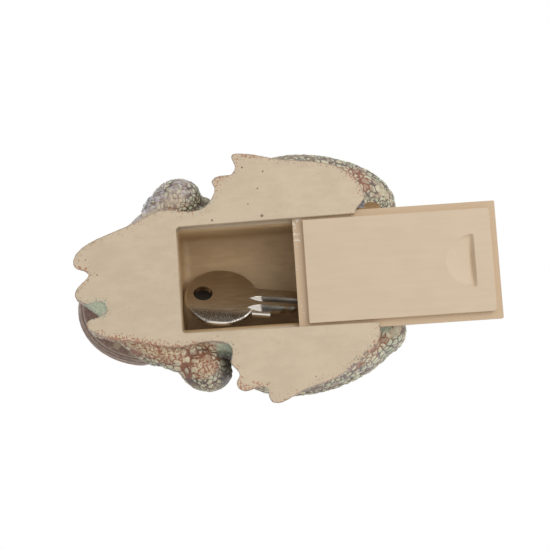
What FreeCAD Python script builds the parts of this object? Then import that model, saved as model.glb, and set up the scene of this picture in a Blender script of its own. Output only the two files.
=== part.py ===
import FreeCAD, Part
import math
import os

from FreeCAD import Matrix, Vector

# Frog key hider, in millimetres. The frog stands upright on its flat base at z = 0 and looks
# along -Y, so its own left side is +X. A stepped cover slides in the base along Y and closes
# a pocket that holds one key. The pieces stand as photographed: cover drawn out part way.

# Fits
slide_gap = 0.3            # room between the cover's tongue and its groove, above and below
side_gap = 0.5             # room beside the tongue and beside the raised panel
end_gap = 0.4              # room before the panel and the tongue when the cover is closed
key_gap = 0.3              # room between the key and the pocket where it leans

# Slot in the base
slot_front_y = -19.1       # inner edge of the front lip
panel_width = 35.4         # raised panel of the cover, across the slot
slot_flare = 1.2           # the slot is this much wider at the rear than at the front
slot_flare_length = 63.0   # length over which the slot widens
slot_corner = 0.7          # corner radius at the front of the slot
lip_thickness = 2.0        # the base's lips that hold the tongue

# Sliding cover
panel_length = 63.8
panel_recess = 0.3         # the panel lies this far above the floor, so only the base touches it
panel_corner = 1.2         # corner radius of the panel, seen square on
panel_edge_round = 0.5     # softened edge around the panel's face
tongue_thickness = 2.4
tongue_side = 2.6          # how far the tongue stands out beyond the panel, each side
tongue_front = 3.5         # and at its inner end
tongue_rear = 2.3          # and at its outer end
tongue_corner = 0.8
cover_drawn_out = 42.9     # how far the photographed cover is drawn out
scoop_width = 17.6         # finger scoop across the slide
scoop_reach = 9.2          # finger scoop along the slide
scoop_depth = 1.6
scoop_to_panel_end = 5.6   # from the scoop's steep wall to the panel's outer end

# Key pocket
pocket_ledge = 1.4         # the pocket is this much narrower than the slot, each side
pocket_rear_y = 42.0
pocket_depth = 23.6        # from the base plane to the pocket's roof
pocket_fillet = 2.5

# Key
bow_diameter = 25.8
key_thickness = 2.0
bow_hole_diameter = 6.6
bow_hole_from_centre = 6.4  # towards the end of the bow
bow_hole_offset = 0.6      # and a little towards the blade's plain edge
neck_width = 11.0          # where the bow runs into the blade
neck_from_centre = 11.0
blade_width = 9.3
blade_length = 42.5        # from the bow's centre to the tip
blade_tip_width = 3.0
blade_tip_length = 2.6
stop_reach = 2.4           # the stop shoulder stands out this far beside the blade
stop_start = 12.2          # both from the bow's centre
stop_end = 17.6
groove_depth = 0.55        # grooves milled along the blade, from edge to edge across it
near_grooves = ((-1.2, 1.3), (-6.0, -2.7))  # in the face towards the cover
far_grooves = ((1.9, 3.5),)  # in the other face
groove_start = 12.9
cut_first = 23.2
cut_pitch = 4.1            # the cuts along the bitted edge
cut_depths = (1.6, 2.4, 1.2, 2.1, 1.2)
cut_flat = 1.2
key_roll = 38.0            # the key leans on the pocket's side wall
key_turn = 8.0             # and points a little to the frog's right
key_front_room = 0.5       # between the bow and the pocket's front wall

# Frog: feet and base
foot_height = 5.0          # the feet are this thick
pole_angle = 84.0          # a mass ends in a small flat at this angle, front and back

# Frog: masses, as centre, half sizes, and turns about X (pitch) and Z (yaw). The two sides
# differ a little, as a modelled animal's do. A mass given for one side of two that match is
# repeated on the right.
torso = {"at": (0.0, 10.0, 28.0), "half": (30.0, 45.0, 25.0), "pitch": -14.0}
belly = {"at": (0.0, 6.0, 10.0), "half": (28.2, 44.2, 16.4)}
chest = {"at": (-1.5, -20.0, 9.5), "half": (26.5, 20.5, 12.0)}
flank = {"at": (22.0, -3.0, 17.0), "half": (5.8, 9.0, 9.0)}
rump = {"at": (0.0, 38.0, 18.0), "half": (26.2, 19.2, 16.2)}
left_haunch = {"at": (27.5, 29.0, 19.0), "half": (15.8, 29.5, 19.7), "pitch": 5.0, "yaw": 10.0}
right_haunch = {"at": (-25.3, 27.5, 19.0), "half": (15.2, 29.6, 19.7), "pitch": 5.0,
                "yaw": -13.5}
right_seat = {"at": (-20.5, 49.3, 18.0), "half": (9.0, 9.1, 12.2)}
knee = {"at": (29.5, 12.0, 21.0), "half": (9.2, 12.2, 12.2), "pitch": 20.0, "yaw": 6.0}
shank = {"at": (30.0, 24.0, 6.0), "half": (8.5, 20.0, 7.0), "yaw": 12.0}
shoulder = {"at": (22.0, -14.0, 26.0), "half": (10.2, 13.2, 13.2), "pitch": 20.0}
left_hand = {"at": (9.6, -43.5, 3.4), "half": (6.0, 8.7, 4.5), "yaw": -22.0}
left_forearm = {"at": (20.4, -30.0, 7.2), "half": (5.7, 16.7, 6.6), "pitch": 10.0, "yaw": -39.0}
left_elbow = {"at": (28.2, -19.6, 11.3), "half": (8.1, 9.9, 9.0), "yaw": -30.0}
left_upper_arm = {"at": (26.2, -16.8, 19.0), "half": (8.2, 8.4, 13.2), "pitch": -6.0}
right_hand = {"at": (-12.2, -42.5, 3.4), "half": (6.0, 8.7, 4.5), "yaw": 18.0}
right_forearm = {"at": (-21.0, -28.7, 7.4), "half": (6.1, 20.2, 6.8), "pitch": 9.0, "yaw": 32.0}
right_elbow = {"at": (-30.1, -12.6, 11.3), "half": (7.9, 9.7, 9.0), "yaw": 25.0}
right_upper_arm = {"at": (-27.0, -13.0, 19.0), "half": (8.4, 8.6, 13.2), "pitch": -6.0}

# Frog: the head, turned a little to the frog's right, in its own straight frame
head_at = (-4.8, -31.0, 0.0)
head_turn = -5.0
jaw = {"at": (0.0, 0.0, 27.0), "half": (21.4, 26.8, 8.2), "pitch": -6.0}
lips = {"at": (0.0, -7.0, 31.2), "half": (21.4, 21.0, 6.3), "pitch": -6.0}
upper_head = {"at": (0.0, 0.5, 36.0), "half": (21.0, 26.2, 11.7), "pitch": -10.0}
snout = {"at": (0.0, -12.0, 36.5), "half": (13.7, 13.2, 9.2), "pitch": -16.0}
brow = {"at": (12.3, 3.5, 45.8), "half": (8.5, 10.7, 9.2), "pitch": -10.0}
eye = {"at": (15.3, -1.9, 47.3), "half": (6.6, 6.6, 6.6)}
nape = {"at": (1.0, 17.0, 36.0), "half": (22.2, 24.2, 17.2), "pitch": -22.0}

# Outline of the base, a stretch to a line of points, each stretch one smooth curve.
# It runs from between the front toes along the frog's left side to the slot's rear end.
left_side = [
    [(3.8, -49.2), (5.6, -51.0), (7.2, -54.3), (9.9, -54.0), (12.8, -51.4), (17.0, -42.4),
     (21.2, -31.0), (24.0, -23.2), (23.0, -15.5), (24.5, -8.2)],
    [(24.5, -8.2), (28.6, -5.2), (31.2, -4.8), (33.0, -5.6), (34.3, -3.6), (34.4, 0.4),
     (36.8, 2.6), (39.6, 2.2), (41.4, 1.6), (42.1, 3.6)],
    [(42.1, 3.6), (41.3, 8.0), (39.4, 15.5), (37.5, 28.0), (34.4, 38.6), (30.0, 43.6),
     (24.2, 45.6), (16.0, 43.0)],
]
# and back along its right side, from the slot's rear end to between the front toes.
right_side = [
    [(-16.0, 45.0), (-20.5, 47.6), (-25.6, 46.6), (-32.0, 39.6), (-37.2, 29.6), (-40.4, 19.4),
     (-43.8, 12.9), (-43.6, 10.0), (-41.2, 9.0)],
    [(-41.2, 9.0), (-38.2, 8.4), (-37.8, 5.0), (-38.9, 1.4), (-37.6, -1.2), (-35.4, -1.2)],
    [(-35.4, -1.2), (-32.6, -0.4), (-29.4, -2.8), (-26.0, -2.2), (-22.4, -4.0)],
    [(-22.4, -4.0), (-21.3, -11.7), (-22.6, -21.0), (-20.6, -31.0), (-18.4, -42.2),
     (-15.6, -48.8), (-13.1, -51.2), (-11.7, -50.0), (-11.1, -45.4)],
    [(-11.1, -45.4), (-8.0, -44.0), (-5.4, -46.6), (-4.8, -52.6), (-3.2, -54.5),
     (-1.0, -53.8), (1.8, -50.8), (3.8, -49.2)],
]

# Worked out from the sizes above
slot_width = panel_width + 2 * side_gap
slot_rear_width = slot_width + slot_flare
tongue_width = panel_width + 2 * tongue_side
groove_width = tongue_width + 2 * side_gap
tongue_z = lip_thickness + slide_gap
groove_top = tongue_z + tongue_thickness + slide_gap
groove_front_y = slot_front_y - tongue_front
panel_front_y = slot_front_y + end_gap + cover_drawn_out
past_all = 120.0           # cuts that run out of the body reach well past it
pocket_width = slot_width - 2 * pocket_ledge


def ellipsoid(at, half, pitch=0.0, yaw=0.0):
    """An ellipsoid with half sizes along X, Y and Z, pitched about X, then yawed about Z."""
    ball = Part.makeSphere(1.0, Vector(0, 0, 0), Vector(0, 1, 0), -pole_angle, pole_angle, 360)
    stretch = Matrix()
    stretch.scale(*half)
    solid = ball.transformGeometry(stretch)
    solid.rotate(Vector(0, 0, 0), Vector(1, 0, 0), pitch)
    solid.rotate(Vector(0, 0, 0), Vector(0, 0, 1), yaw)
    solid.translate(Vector(*at))
    return solid


def both_sides(mass):
    """The mass on the frog's left side and its mirror image on the right."""
    left = ellipsoid(**mass)
    right = left.mirror(Vector(0, 0, 0), Vector(1, 0, 0))
    return [left, right]


def box(x_range, y_range, z_range):
    """A box between two corners."""
    low = Vector(x_range[0], y_range[0], z_range[0])
    size = (x_range[1] - x_range[0], y_range[1] - y_range[0], z_range[1] - z_range[0])
    return Part.makeBox(size[0], size[1], size[2], low)


def edges_along(solid, axis):
    """The straight edges of a solid that run along an axis."""
    found = []
    for edge in solid.Edges:
        run = edge.Vertexes[-1].Point - edge.Vertexes[0].Point
        if run.Length > 0 and abs(run.normalize().dot(axis)) > 0.999:
            found.append(edge)
    return found


def edges_at_height(solid, z):
    """The edges of a solid that lie wholly at one height."""
    def lies_flat(edge):
        return all(abs(vertex.Z - z) < 1e-6 for vertex in edge.Vertexes)
    return [edge for edge in solid.Edges if lies_flat(edge)]


def foot_plate():
    """The flat base with its webbed toes, as thick as the feet."""
    edges = []
    for stretch in left_side + right_side:
        curve = Part.BSplineCurve()
        curve.interpolate([Vector(x, y, 0) for x, y in stretch])
        edges.append(curve.toShape())
    rear_left = Vector(*left_side[-1][-1], 0)
    rear_right = Vector(*right_side[0][0], 0)
    edges.insert(len(left_side), Part.makeLine(rear_left, rear_right))
    face = Part.Face(Part.Wire(edges))
    return face.extrude(Vector(0, 0, foot_height))


def head():
    """Jaw, lips, snout, brows and eyes, turned together about the neck."""
    masses = [ellipsoid(**mass) for mass in (jaw, lips, upper_head, snout, nape)]
    masses += both_sides(brow) + both_sides(eye)
    for mass in masses:
        mass.rotate(Vector(0, 0, 0), Vector(0, 0, 1), head_turn)
        mass.translate(Vector(*head_at))
    return masses


def slot_cut():
    """The slot between the lips and the groove above them, both open at the rear."""
    front = slot_width / 2
    rear = slot_rear_width / 2
    flare_end = slot_front_y + slot_flare_length
    corners = [(-front, slot_front_y), (front, slot_front_y), (rear, flare_end),
               (rear, past_all), (-rear, past_all), (-rear, flare_end)]
    points = [Vector(x, y, -foot_height) for x, y in corners]
    outline = Part.Face(Part.makePolygon(points + points[:1]))
    slot = outline.extrude(Vector(0, 0, foot_height + groove_top - slide_gap))
    front_corners = [edge for edge in edges_along(slot, Vector(0, 0, 1))
                     if abs(edge.Vertexes[0].Y - slot_front_y) < 1e-6]
    slot = slot.makeFillet(slot_corner, front_corners)
    half = groove_width / 2
    groove = box((-half, half), (groove_front_y, past_all), (lip_thickness, groove_top))
    return slot.fuse(groove)


def pocket_cut():
    """The key pocket, with a rounded roof."""
    half = pocket_width / 2
    bottom = groove_top - 2 * slide_gap
    block = box((-half, half), (slot_front_y, pocket_rear_y), (bottom, pocket_depth))
    rounded = edges_along(block, Vector(0, 0, 1)) + edges_at_height(block, pocket_depth)
    return block.makeFillet(pocket_fillet, rounded)


def frog_body():
    """The cast frog: its masses and feet in one piece, flat below, slotted and hollowed."""
    own = (torso, belly, chest, rump, left_haunch, right_haunch, right_seat,
           left_hand, left_forearm, left_elbow, left_upper_arm,
           right_hand, right_forearm, right_elbow, right_upper_arm)
    masses = [ellipsoid(**mass) for mass in own]
    for mass in (flank, knee, shank, shoulder):
        masses += both_sides(mass)
    solid = foot_plate().multiFuse(masses + head())
    below = box((-past_all, past_all), (-past_all, past_all), (-past_all, 0.0))
    solid = solid.cut(below)
    solid = solid.cut(slot_cut())
    return solid.cut(pocket_cut())


def sliding_cover():
    """The stepped cover: a raised panel on a wider tongue plate, with a finger scoop."""
    half = panel_width / 2
    panel_end_y = panel_front_y + panel_length
    panel = box((-half, half), (panel_front_y, panel_end_y), (panel_recess, tongue_z))
    panel = panel.makeFillet(panel_corner, edges_along(panel, Vector(0, 0, 1)))
    panel = panel.makeFillet(panel_edge_round, edges_at_height(panel, panel_recess))
    side = tongue_width / 2
    tongue = box((-side, side), (panel_front_y - tongue_front, panel_end_y + tongue_rear),
                 (tongue_z, tongue_z + tongue_thickness))
    tongue = tongue.makeFillet(tongue_corner, edges_along(tongue, Vector(0, 0, 1)))
    wall_y = panel_end_y - scoop_to_panel_end
    scoop = ellipsoid((0.0, wall_y, panel_recess), (scoop_width / 2, scoop_reach, scoop_depth))
    inner_half = box((-scoop_width, scoop_width), (wall_y - scoop_width, wall_y),
                     (-scoop_width, scoop_width))
    return panel.fuse(tongue).removeSplitter().cut(scoop.common(inner_half))


def key_blank():
    """The key lying flat: bow centred on the origin, blade along +Y, thickness about z = 0."""
    low = -key_thickness / 2
    bow = Part.makeCylinder(bow_diameter / 2, key_thickness, Vector(0, 0, low))
    half = blade_width / 2
    tip = blade_tip_width / 2
    corners = [(-neck_width / 2, 0.0), (neck_width / 2, 0.0), (neck_width / 2, neck_from_centre),
               (half, neck_from_centre + (neck_width - blade_width) / 2),
               (half, blade_length - blade_tip_length), (tip, blade_length),
               (-tip, blade_length), (-half, blade_length - blade_tip_length),
               (-half, neck_from_centre + (neck_width - blade_width) / 2),
               (-neck_width / 2, neck_from_centre)]
    points = [Vector(x, y, low) for x, y in corners]
    blade = Part.Face(Part.makePolygon(points + points[:1])).extrude(Vector(0, 0, key_thickness))
    stop = box((-half - stop_reach, 0.0), (stop_start, stop_end), (low, -low))
    return bow.multiFuse([blade, stop]).removeSplitter()


def key_cuts():
    """The bow's hole, the milled grooves and the cuts along the bitted edge."""
    low = -key_thickness / 2
    half = blade_width / 2
    hole = Part.makeCylinder(bow_hole_diameter / 2, key_thickness * 2,
                             Vector(bow_hole_offset, -bow_hole_from_centre, 2 * low))
    cuts = [hole]
    for face_z, grooves in ((low, near_grooves), (-low, far_grooves)):
        for across in grooves:
            cuts.append(box(across, (groove_start, blade_length + key_thickness),
                            (face_z - groove_depth, face_z + groove_depth)))
    for index, depth in enumerate(cut_depths):
        middle = cut_first + index * cut_pitch
        corners = [(-half - depth, middle - cut_flat / 2 - 2 * depth),
                   (-half - depth, middle + cut_flat / 2 + 2 * depth),
                   (-half + depth, middle + cut_flat / 2), (-half + depth, middle - cut_flat / 2)]
        points = [Vector(x, y, 2 * low) for x, y in corners]
        notch = Part.Face(Part.makePolygon(points + points[:1]))
        cuts.append(notch.extrude(Vector(0, 0, 2 * key_thickness)))
    return cuts


def key():
    """The key as it lies: rolled about its length against the pocket's wall and roof."""
    solid = key_blank()
    for cut in key_cuts():
        solid = solid.cut(cut)
    roll = math.radians(key_roll)
    reach_x = bow_diameter / 2 * math.cos(roll) + key_thickness / 2 * math.sin(roll)
    reach_z = bow_diameter / 2 * math.sin(roll) + key_thickness / 2 * math.cos(roll)
    x = -pocket_width / 2 + key_gap + reach_x
    y = slot_front_y + key_front_room + bow_diameter / 2
    z = pocket_depth - key_gap - reach_z
    solid.rotate(Vector(0, 0, 0), Vector(0, 1, 0), -key_roll)
    solid.rotate(Vector(0, 0, 0), Vector(0, 0, 1), key_turn)
    solid.translate(Vector(x, y, z))
    return solid


os.makedirs("parts", exist_ok=True)
for name, make in (("frog_body", frog_body), ("sliding_cover", sliding_cover), ("key", key)):
    shape = make()
    if len(shape.Solids) != 1 or not shape.isValid():
        raise RuntimeError(f"{name}: {len(shape.Solids)} solids, valid {shape.isValid()}")
    shape = shape.Solids[0]
    shape.exportStep(f"parts/{name}.step")
    bounds = shape.BoundBox
    print(f"{name}: {shape.Volume / 1000:.1f} cm3, x {bounds.XMin:.1f}..{bounds.XMax:.1f},"
          f" y {bounds.YMin:.1f}..{bounds.YMax:.1f}, z {bounds.ZMin:.1f}..{bounds.ZMax:.1f}")
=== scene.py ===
import logging
import math
from collections.abc import Callable
from dataclasses import dataclass
from enum import Enum

import bmesh
import bpy
import numpy as np
from mathutils import Matrix, Vector
from mathutils.kdtree import KDTree


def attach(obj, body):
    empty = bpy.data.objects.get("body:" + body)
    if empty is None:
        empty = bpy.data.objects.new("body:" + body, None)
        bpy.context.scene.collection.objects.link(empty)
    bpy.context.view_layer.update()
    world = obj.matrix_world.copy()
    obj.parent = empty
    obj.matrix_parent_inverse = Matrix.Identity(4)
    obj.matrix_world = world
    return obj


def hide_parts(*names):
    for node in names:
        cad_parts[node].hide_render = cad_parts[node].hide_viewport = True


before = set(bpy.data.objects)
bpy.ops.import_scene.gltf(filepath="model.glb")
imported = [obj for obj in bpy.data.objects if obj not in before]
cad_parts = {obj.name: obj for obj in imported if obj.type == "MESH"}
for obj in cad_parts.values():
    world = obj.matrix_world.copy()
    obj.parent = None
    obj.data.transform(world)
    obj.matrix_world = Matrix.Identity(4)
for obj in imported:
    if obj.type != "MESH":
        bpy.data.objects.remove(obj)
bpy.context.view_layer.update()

log = logging.getLogger("key_hider")

MM = 0.001                 # pieces are shaped in millimetres and set into the frame in metres

Point = tuple[float, float, float]
Span = tuple[float, float]           # from one value to another
Pair = tuple[float, float]           # one value for X and one for Y
Outline = tuple[Pair, ...]           # X and Y of each corner, in order
Steps = tuple[tuple[float, float], ...]      # how far down and how far out, step by step
FaceTest = Callable[[bpy.types.MeshPolygon], bool]
EdgeTest = Callable[[Vector, Vector], bool]


# Workshop: selecting, primitives and modifiers


class Side(Enum):
    """One side of the frog, as the sign of X there."""

    LEFT = 1.0
    RIGHT = -1.0


class Join(Enum):
    """What a boolean does with its second piece."""

    UNION = "UNION"
    CUT = "DIFFERENCE"
    KEEP_INSIDE = "INTERSECT"


def clear_selection() -> None:
    """Deselect every object, the frame's nodes among them."""
    if bpy.context.object and bpy.context.object.mode != "OBJECT":
        bpy.ops.object.mode_set(mode="OBJECT")
    bpy.ops.object.select_all(action="DESELECT")


def take(obj: bpy.types.Object) -> bpy.types.Object:
    """Select one object alone and make it the active one.

    Args:
        obj: The object to work on.

    Returns:
        The same object.
    """
    clear_selection()
    obj.select_set(True)
    bpy.context.view_layer.objects.active = obj
    return obj


def set_down(name: str) -> bpy.types.Object:
    """Name the primitive just added and put its place, turn and size into its mesh.

    Args:
        name: The object's new name.

    Returns:
        The primitive, at the origin.
    """
    obj = bpy.context.object
    obj.name = name
    bpy.ops.object.transform_apply(location=True, rotation=True, scale=True)
    return obj


def ball(at: Point, half: Point, pitch: float = 0.0, yaw: float = 0.0, rings: int = 24
         ) -> bpy.types.Object:
    """Add a stretched sphere, its poles along Z before it is turned.

    Args:
        at: Its centre.
        half: Its half sizes along X, Y and Z.
        pitch: Turn about X in degrees, made first.
        yaw: Turn about Z in degrees.
        rings: Rings from pole to pole.

    Returns:
        The sphere.
    """
    clear_selection()
    bpy.ops.mesh.primitive_uv_sphere_add(
        segments=2 * rings, ring_count=rings, radius=1.0, location=at, scale=half,
        rotation=(math.radians(pitch), 0.0, math.radians(yaw)))
    return set_down("mass")


def block(x: Span, y: Span, z: Span) -> bpy.types.Object:
    """Add a box.

    Args:
        x: Its low and high along X.
        y: Its low and high along Y.
        z: Its low and high along Z.

    Returns:
        The box.
    """
    clear_selection()
    centre = ((x[0] + x[1]) / 2, (y[0] + y[1]) / 2, (z[0] + z[1]) / 2)
    bpy.ops.mesh.primitive_cube_add(
        size=1.0, location=centre, scale=(x[1] - x[0], y[1] - y[0], z[1] - z[0]))
    return set_down("block")


def flat_form(corners: Outline, low: float, high: float, name: str) -> bpy.types.Object:
    """A flat form from its corners: a disc whose rim is moved to them, then raised.

    Args:
        corners: X and Y of each corner, in order.
        low: Z of its lower face.
        high: Z of its upper face.
        name: Its name.

    Returns:
        The closed form.
    """
    clear_selection()
    bpy.ops.mesh.primitive_circle_add(vertices=len(corners), radius=1.0, fill_type="NGON")
    obj = set_down(name)
    points = points_of(obj)
    points[:, :2] = corners
    points[:, 2] = low
    move_points(obj, points)
    thicken(obj, high - low)
    return obj


def thicken(obj: bpy.types.Object, height: float) -> None:
    """Raise a sheet along Z into a closed form.

    Args:
        obj: The sheet.
        height: How far, below zero for downwards.
    """
    take(obj)
    bpy.ops.object.mode_set(mode="EDIT")
    bpy.ops.mesh.select_all(action="SELECT")
    bpy.ops.mesh.extrude_region_move(TRANSFORM_OT_translate={"value": (0.0, 0.0, height)})
    bpy.ops.mesh.select_all(action="SELECT")
    bpy.ops.mesh.normals_make_consistent(inside=False)
    bpy.ops.object.mode_set(mode="OBJECT")


def joined(parts: list[bpy.types.Object], name: str) -> bpy.types.Object:
    """Join several objects into the first one.

    Args:
        parts: The objects, which become one.
        name: The new name.

    Returns:
        The joined object.
    """
    take(parts[0])
    for part in parts[1:]:
        part.select_set(True)
    bpy.ops.object.join()
    obj = bpy.context.object
    obj.name = name
    return obj


def apply_modifier(obj: bpy.types.Object, kind: str, **settings: object) -> None:
    """Add a modifier with its settings and apply it.

    Args:
        obj: The object to change.
        kind: The modifier's type.
        **settings: The modifier's own settings.
    """
    take(obj)
    modifier = obj.modifiers.new(kind.lower(), kind)
    for key, value in settings.items():
        setattr(modifier, key, value)
    bpy.ops.object.modifier_apply(modifier=modifier.name)


def combine(obj: bpy.types.Object, other: bpy.types.Object, how: Join,
            solver: str = "MANIFOLD") -> None:
    """Join, cut or trim one closed object by another, which is used up.

    Args:
        obj: The object that stays.
        other: The second object.
        how: What is done with it.
        solver: The boolean solver.
    """
    apply_modifier(obj, "BOOLEAN", object=other, operation=how.value, solver=solver)
    bpy.data.objects.remove(other)


def edit_faces(obj: bpy.types.Object, chosen: FaceTest) -> None:
    """Enter edit mode with only some faces selected.

    Args:
        obj: The object to edit.
        chosen: Says of a face whether it is selected.
    """
    take(obj)
    mesh = obj.data
    bpy.ops.object.mode_set(mode="EDIT")
    bpy.ops.mesh.select_mode(type="FACE")
    bpy.ops.mesh.select_all(action="DESELECT")
    bpy.ops.object.mode_set(mode="OBJECT")
    for face in mesh.polygons:
        face.select = bool(chosen(face))
    bpy.ops.object.mode_set(mode="EDIT")


def draw_out(rise: float, wider: Span, longer: Span, centre: Point) -> None:
    """In edit mode, extrude the chosen end face along Z and change its size.

    Args:
        rise: How far it moves along Z.
        wider: Its half size along X before and after.
        longer: Its reach along Y before and after, measured from the centre.
        centre: The place that keeps still in X and Y.
    """
    bpy.ops.mesh.extrude_region_move(TRANSFORM_OT_translate={"value": (0.0, 0.0, rise)})
    bpy.ops.transform.resize(value=(wider[1] / wider[0], longer[1] / longer[0], 1.0),
                             center_override=centre)


def round_edges(obj: bpy.types.Object, chosen: EdgeTest, radius: float, segments: int) -> None:
    """Round some edges of an object.

    Args:
        obj: The object to change.
        chosen: Says of an edge, by its two ends, whether it is rounded.
        radius: The size of the round.
        segments: Faces across it.
    """
    take(obj)
    bpy.ops.object.mode_set(mode="EDIT")
    bpy.ops.mesh.select_mode(type="EDGE")
    shape = bmesh.from_edit_mesh(obj.data)
    for edge in shape.edges:
        edge.select_set(False)
    for edge in shape.edges:
        if chosen(edge.verts[0].co, edge.verts[1].co):
            edge.select_set(True)
    bmesh.update_edit_mesh(obj.data)
    bpy.ops.mesh.bevel(offset=radius, segments=segments, affect="EDGES")
    bpy.ops.object.mode_set(mode="OBJECT")


def is_upright(a: Vector, b: Vector) -> bool:
    """Say whether an edge between two points stands upright."""
    return abs(a.z - b.z) > 0.5


def is_level(a: Vector, b: Vector) -> bool:
    """Say whether an edge between two points lies level."""
    return abs(a.z - b.z) < 0.01


def points_of(obj: bpy.types.Object) -> np.ndarray:
    """The object's vertices as rows of X, Y and Z.

    Args:
        obj: The object.

    Returns:
        The rows.
    """
    found = np.empty(len(obj.data.vertices) * 3)
    obj.data.vertices.foreach_get("co", found)
    return found.reshape(-1, 3)


def normals_of(obj: bpy.types.Object) -> np.ndarray:
    """The object's vertex normals as rows.

    Args:
        obj: The object.

    Returns:
        The rows.
    """
    found = np.empty(len(obj.data.vertices) * 3, np.float32)
    obj.data.vertex_normals.foreach_get("vector", found)
    return found.reshape(-1, 3).astype(float)


def move_points(obj: bpy.types.Object, points: np.ndarray) -> None:
    """Put the object's vertices at new places."""
    obj.data.vertices.foreach_set("co", points.astype(np.float32).ravel())
    obj.data.update()


def keep_values(obj: bpy.types.Object, name: str, values: np.ndarray) -> None:
    """Store one value for each vertex as a named attribute.

    Args:
        obj: The object.
        name: The attribute's name.
        values: One value for each vertex.
    """
    mesh = obj.data
    found = mesh.attributes.get(name) or mesh.attributes.new(name, "FLOAT", "POINT")
    found.data.foreach_set("value", values.astype(np.float32))


def smooth_step(values: np.ndarray, low: float, high: float) -> np.ndarray:
    """Rise smoothly from 0 at low to 1 at high."""
    share = np.clip((values - low) / (high - low), 0.0, 1.0)
    return share * share * (3.0 - 2.0 * share)


def distance_to_line(points: np.ndarray, line: list[Point]) -> tuple[np.ndarray, np.ndarray]:
    """Distance of points from a line of straight runs.

    Args:
        points: Rows of X, Y and Z.
        line: The line's points.

    Returns:
        The distances, and how far along the line the nearest place is, from 0 to 1.
    """
    corners = np.array(line, float)
    runs = np.diff(corners, axis=0)
    lengths = np.linalg.norm(runs, axis=1)
    before = np.concatenate([[0.0], np.cumsum(lengths)])
    nearest = np.full(len(points), 1e9)
    along = np.zeros(len(points))
    for start, run, length, done in zip(corners, runs, lengths, before):
        share = np.clip(((points - start) @ run) / length ** 2, 0.0, 1.0)
        away = np.linalg.norm(points - start - share[:, None] * run, axis=1)
        closer = away < nearest
        nearest[closer] = away[closer]
        along[closer] = (done + share[closer] * length) / before[-1]
    return nearest, along


def finish_piece(obj: bpy.types.Object, body: str, node: str | None,
                 angle: float = 35.0) -> bpy.types.Object:
    """Set a finished piece into the frame and let it ride on its body.

    Args:
        obj: The piece, shaped in millimetres.
        body: The body that carries it.
        node: The frame's node that it stands for, if any.
        angle: Edges sharper than this many degrees stay crisp.

    Returns:
        The piece.
    """
    obj.data.transform(Matrix.Scale(MM, 4))
    obj.data.update()
    take(obj)
    bpy.ops.object.shade_smooth_by_angle(angle=math.radians(angle))
    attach(obj, body)
    if node:
        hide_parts(node)
    obj.data.calc_loop_triangles()
    log.info("%s: %d triangles", obj.name, len(obj.data.loop_triangles))
    return obj


# Finishes: nodes, shared effects and materials


Value = float | bpy.types.NodeSocket
Colour = tuple[int, int, int]


def paint(red: int, green: int, blue: int) -> tuple[float, float, float, float]:
    """A paint colour, given as it looks from 0 to 255, in the linear form that nodes take.

    Args:
        red: Its red.
        green: Its green.
        blue: Its blue.

    Returns:
        Red, green, blue and 1.
    """
    knee = 10.3    # the curve is straight below it
    linear = [c / 255 / 12.92 if c < knee else ((c / 255 + 0.055) / 1.055) ** 2.4
              for c in (red, green, blue)]
    return (*linear, 1.0)


class Paint(Enum):
    """The paints on the finishes, as each looks from 0 to 255."""

    NET = (98, 83, 76)
    NET_WARM = (130, 107, 93)
    RUST = (150, 99, 74)
    RUST_DEEP = (114, 78, 64)
    CREAM = (211, 199, 170)
    PALE_GREEN = (189, 198, 169)
    PEBBLE_WORN = (192, 172, 148)
    PALE = (205, 190, 160)
    FOOT = (214, 198, 174)
    FOOT_PINK = (168, 142, 128)
    FOOT_PALE = (214, 198, 160)
    FOOT_RUST = (156, 98, 72)
    BARE_SKIN = (132, 112, 100)
    JAW = (140, 110, 96)
    JAW_DEEP = (110, 86, 76)
    JAW_MOTTLE = (176, 158, 130)
    LIP_DEEP = (130, 104, 92)
    LIP = (174, 146, 128)
    LIP_GREEN = (176, 166, 138)
    # lines along the lip: pale ones are painted highlight, dark ones painted shade in the
    # creases
    CREASE_EDGE = (180, 162, 146)
    CREASE_DEEP = (74, 56, 50)
    CREASE = (82, 64, 58)
    CREASE_PALE = (176, 158, 142)
    SLATE_DEEP = (92, 90, 94)
    SLATE = (150, 146, 148)
    LILAC = (190, 182, 188)
    TEAL = (178, 184, 158)
    TEAL_DEEP = (152, 162, 142)
    HOLLOW = (84, 68, 60)
    SHADE = (74, 68, 62)
    CREST = (198, 190, 194)
    # pits and holes painted darker: painted shade in them
    PIT = (120, 98, 74)
    HOLE = (96, 78, 52)
    SPECK_TEAL = (186, 192, 168)
    SPECK_RUST = (166, 106, 76)
    SPECK_SLATE = (118, 114, 108)
    OUTLINE = (134, 108, 100)
    # painted shadow behind the key's bow
    RUBBED = (28, 24, 22)
    # painted shade on the cover's recessed tongue and scoop floor
    TONGUE = (202, 175, 143)
    # near-white patches on the cover's tongue step
    CHIP = (240, 234, 222)
    IRIS_DEEP = (96, 62, 22)
    IRIS = (196, 156, 72)
    IRIS_RIM = (34, 26, 20)
    PUPIL = (10, 9, 9)
    SCUFF = (96, 90, 84)

    @property
    def linear(self) -> tuple[float, float, float, float]:
        """The paint in the linear form that nodes take."""
        return paint(*self.value)


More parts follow.
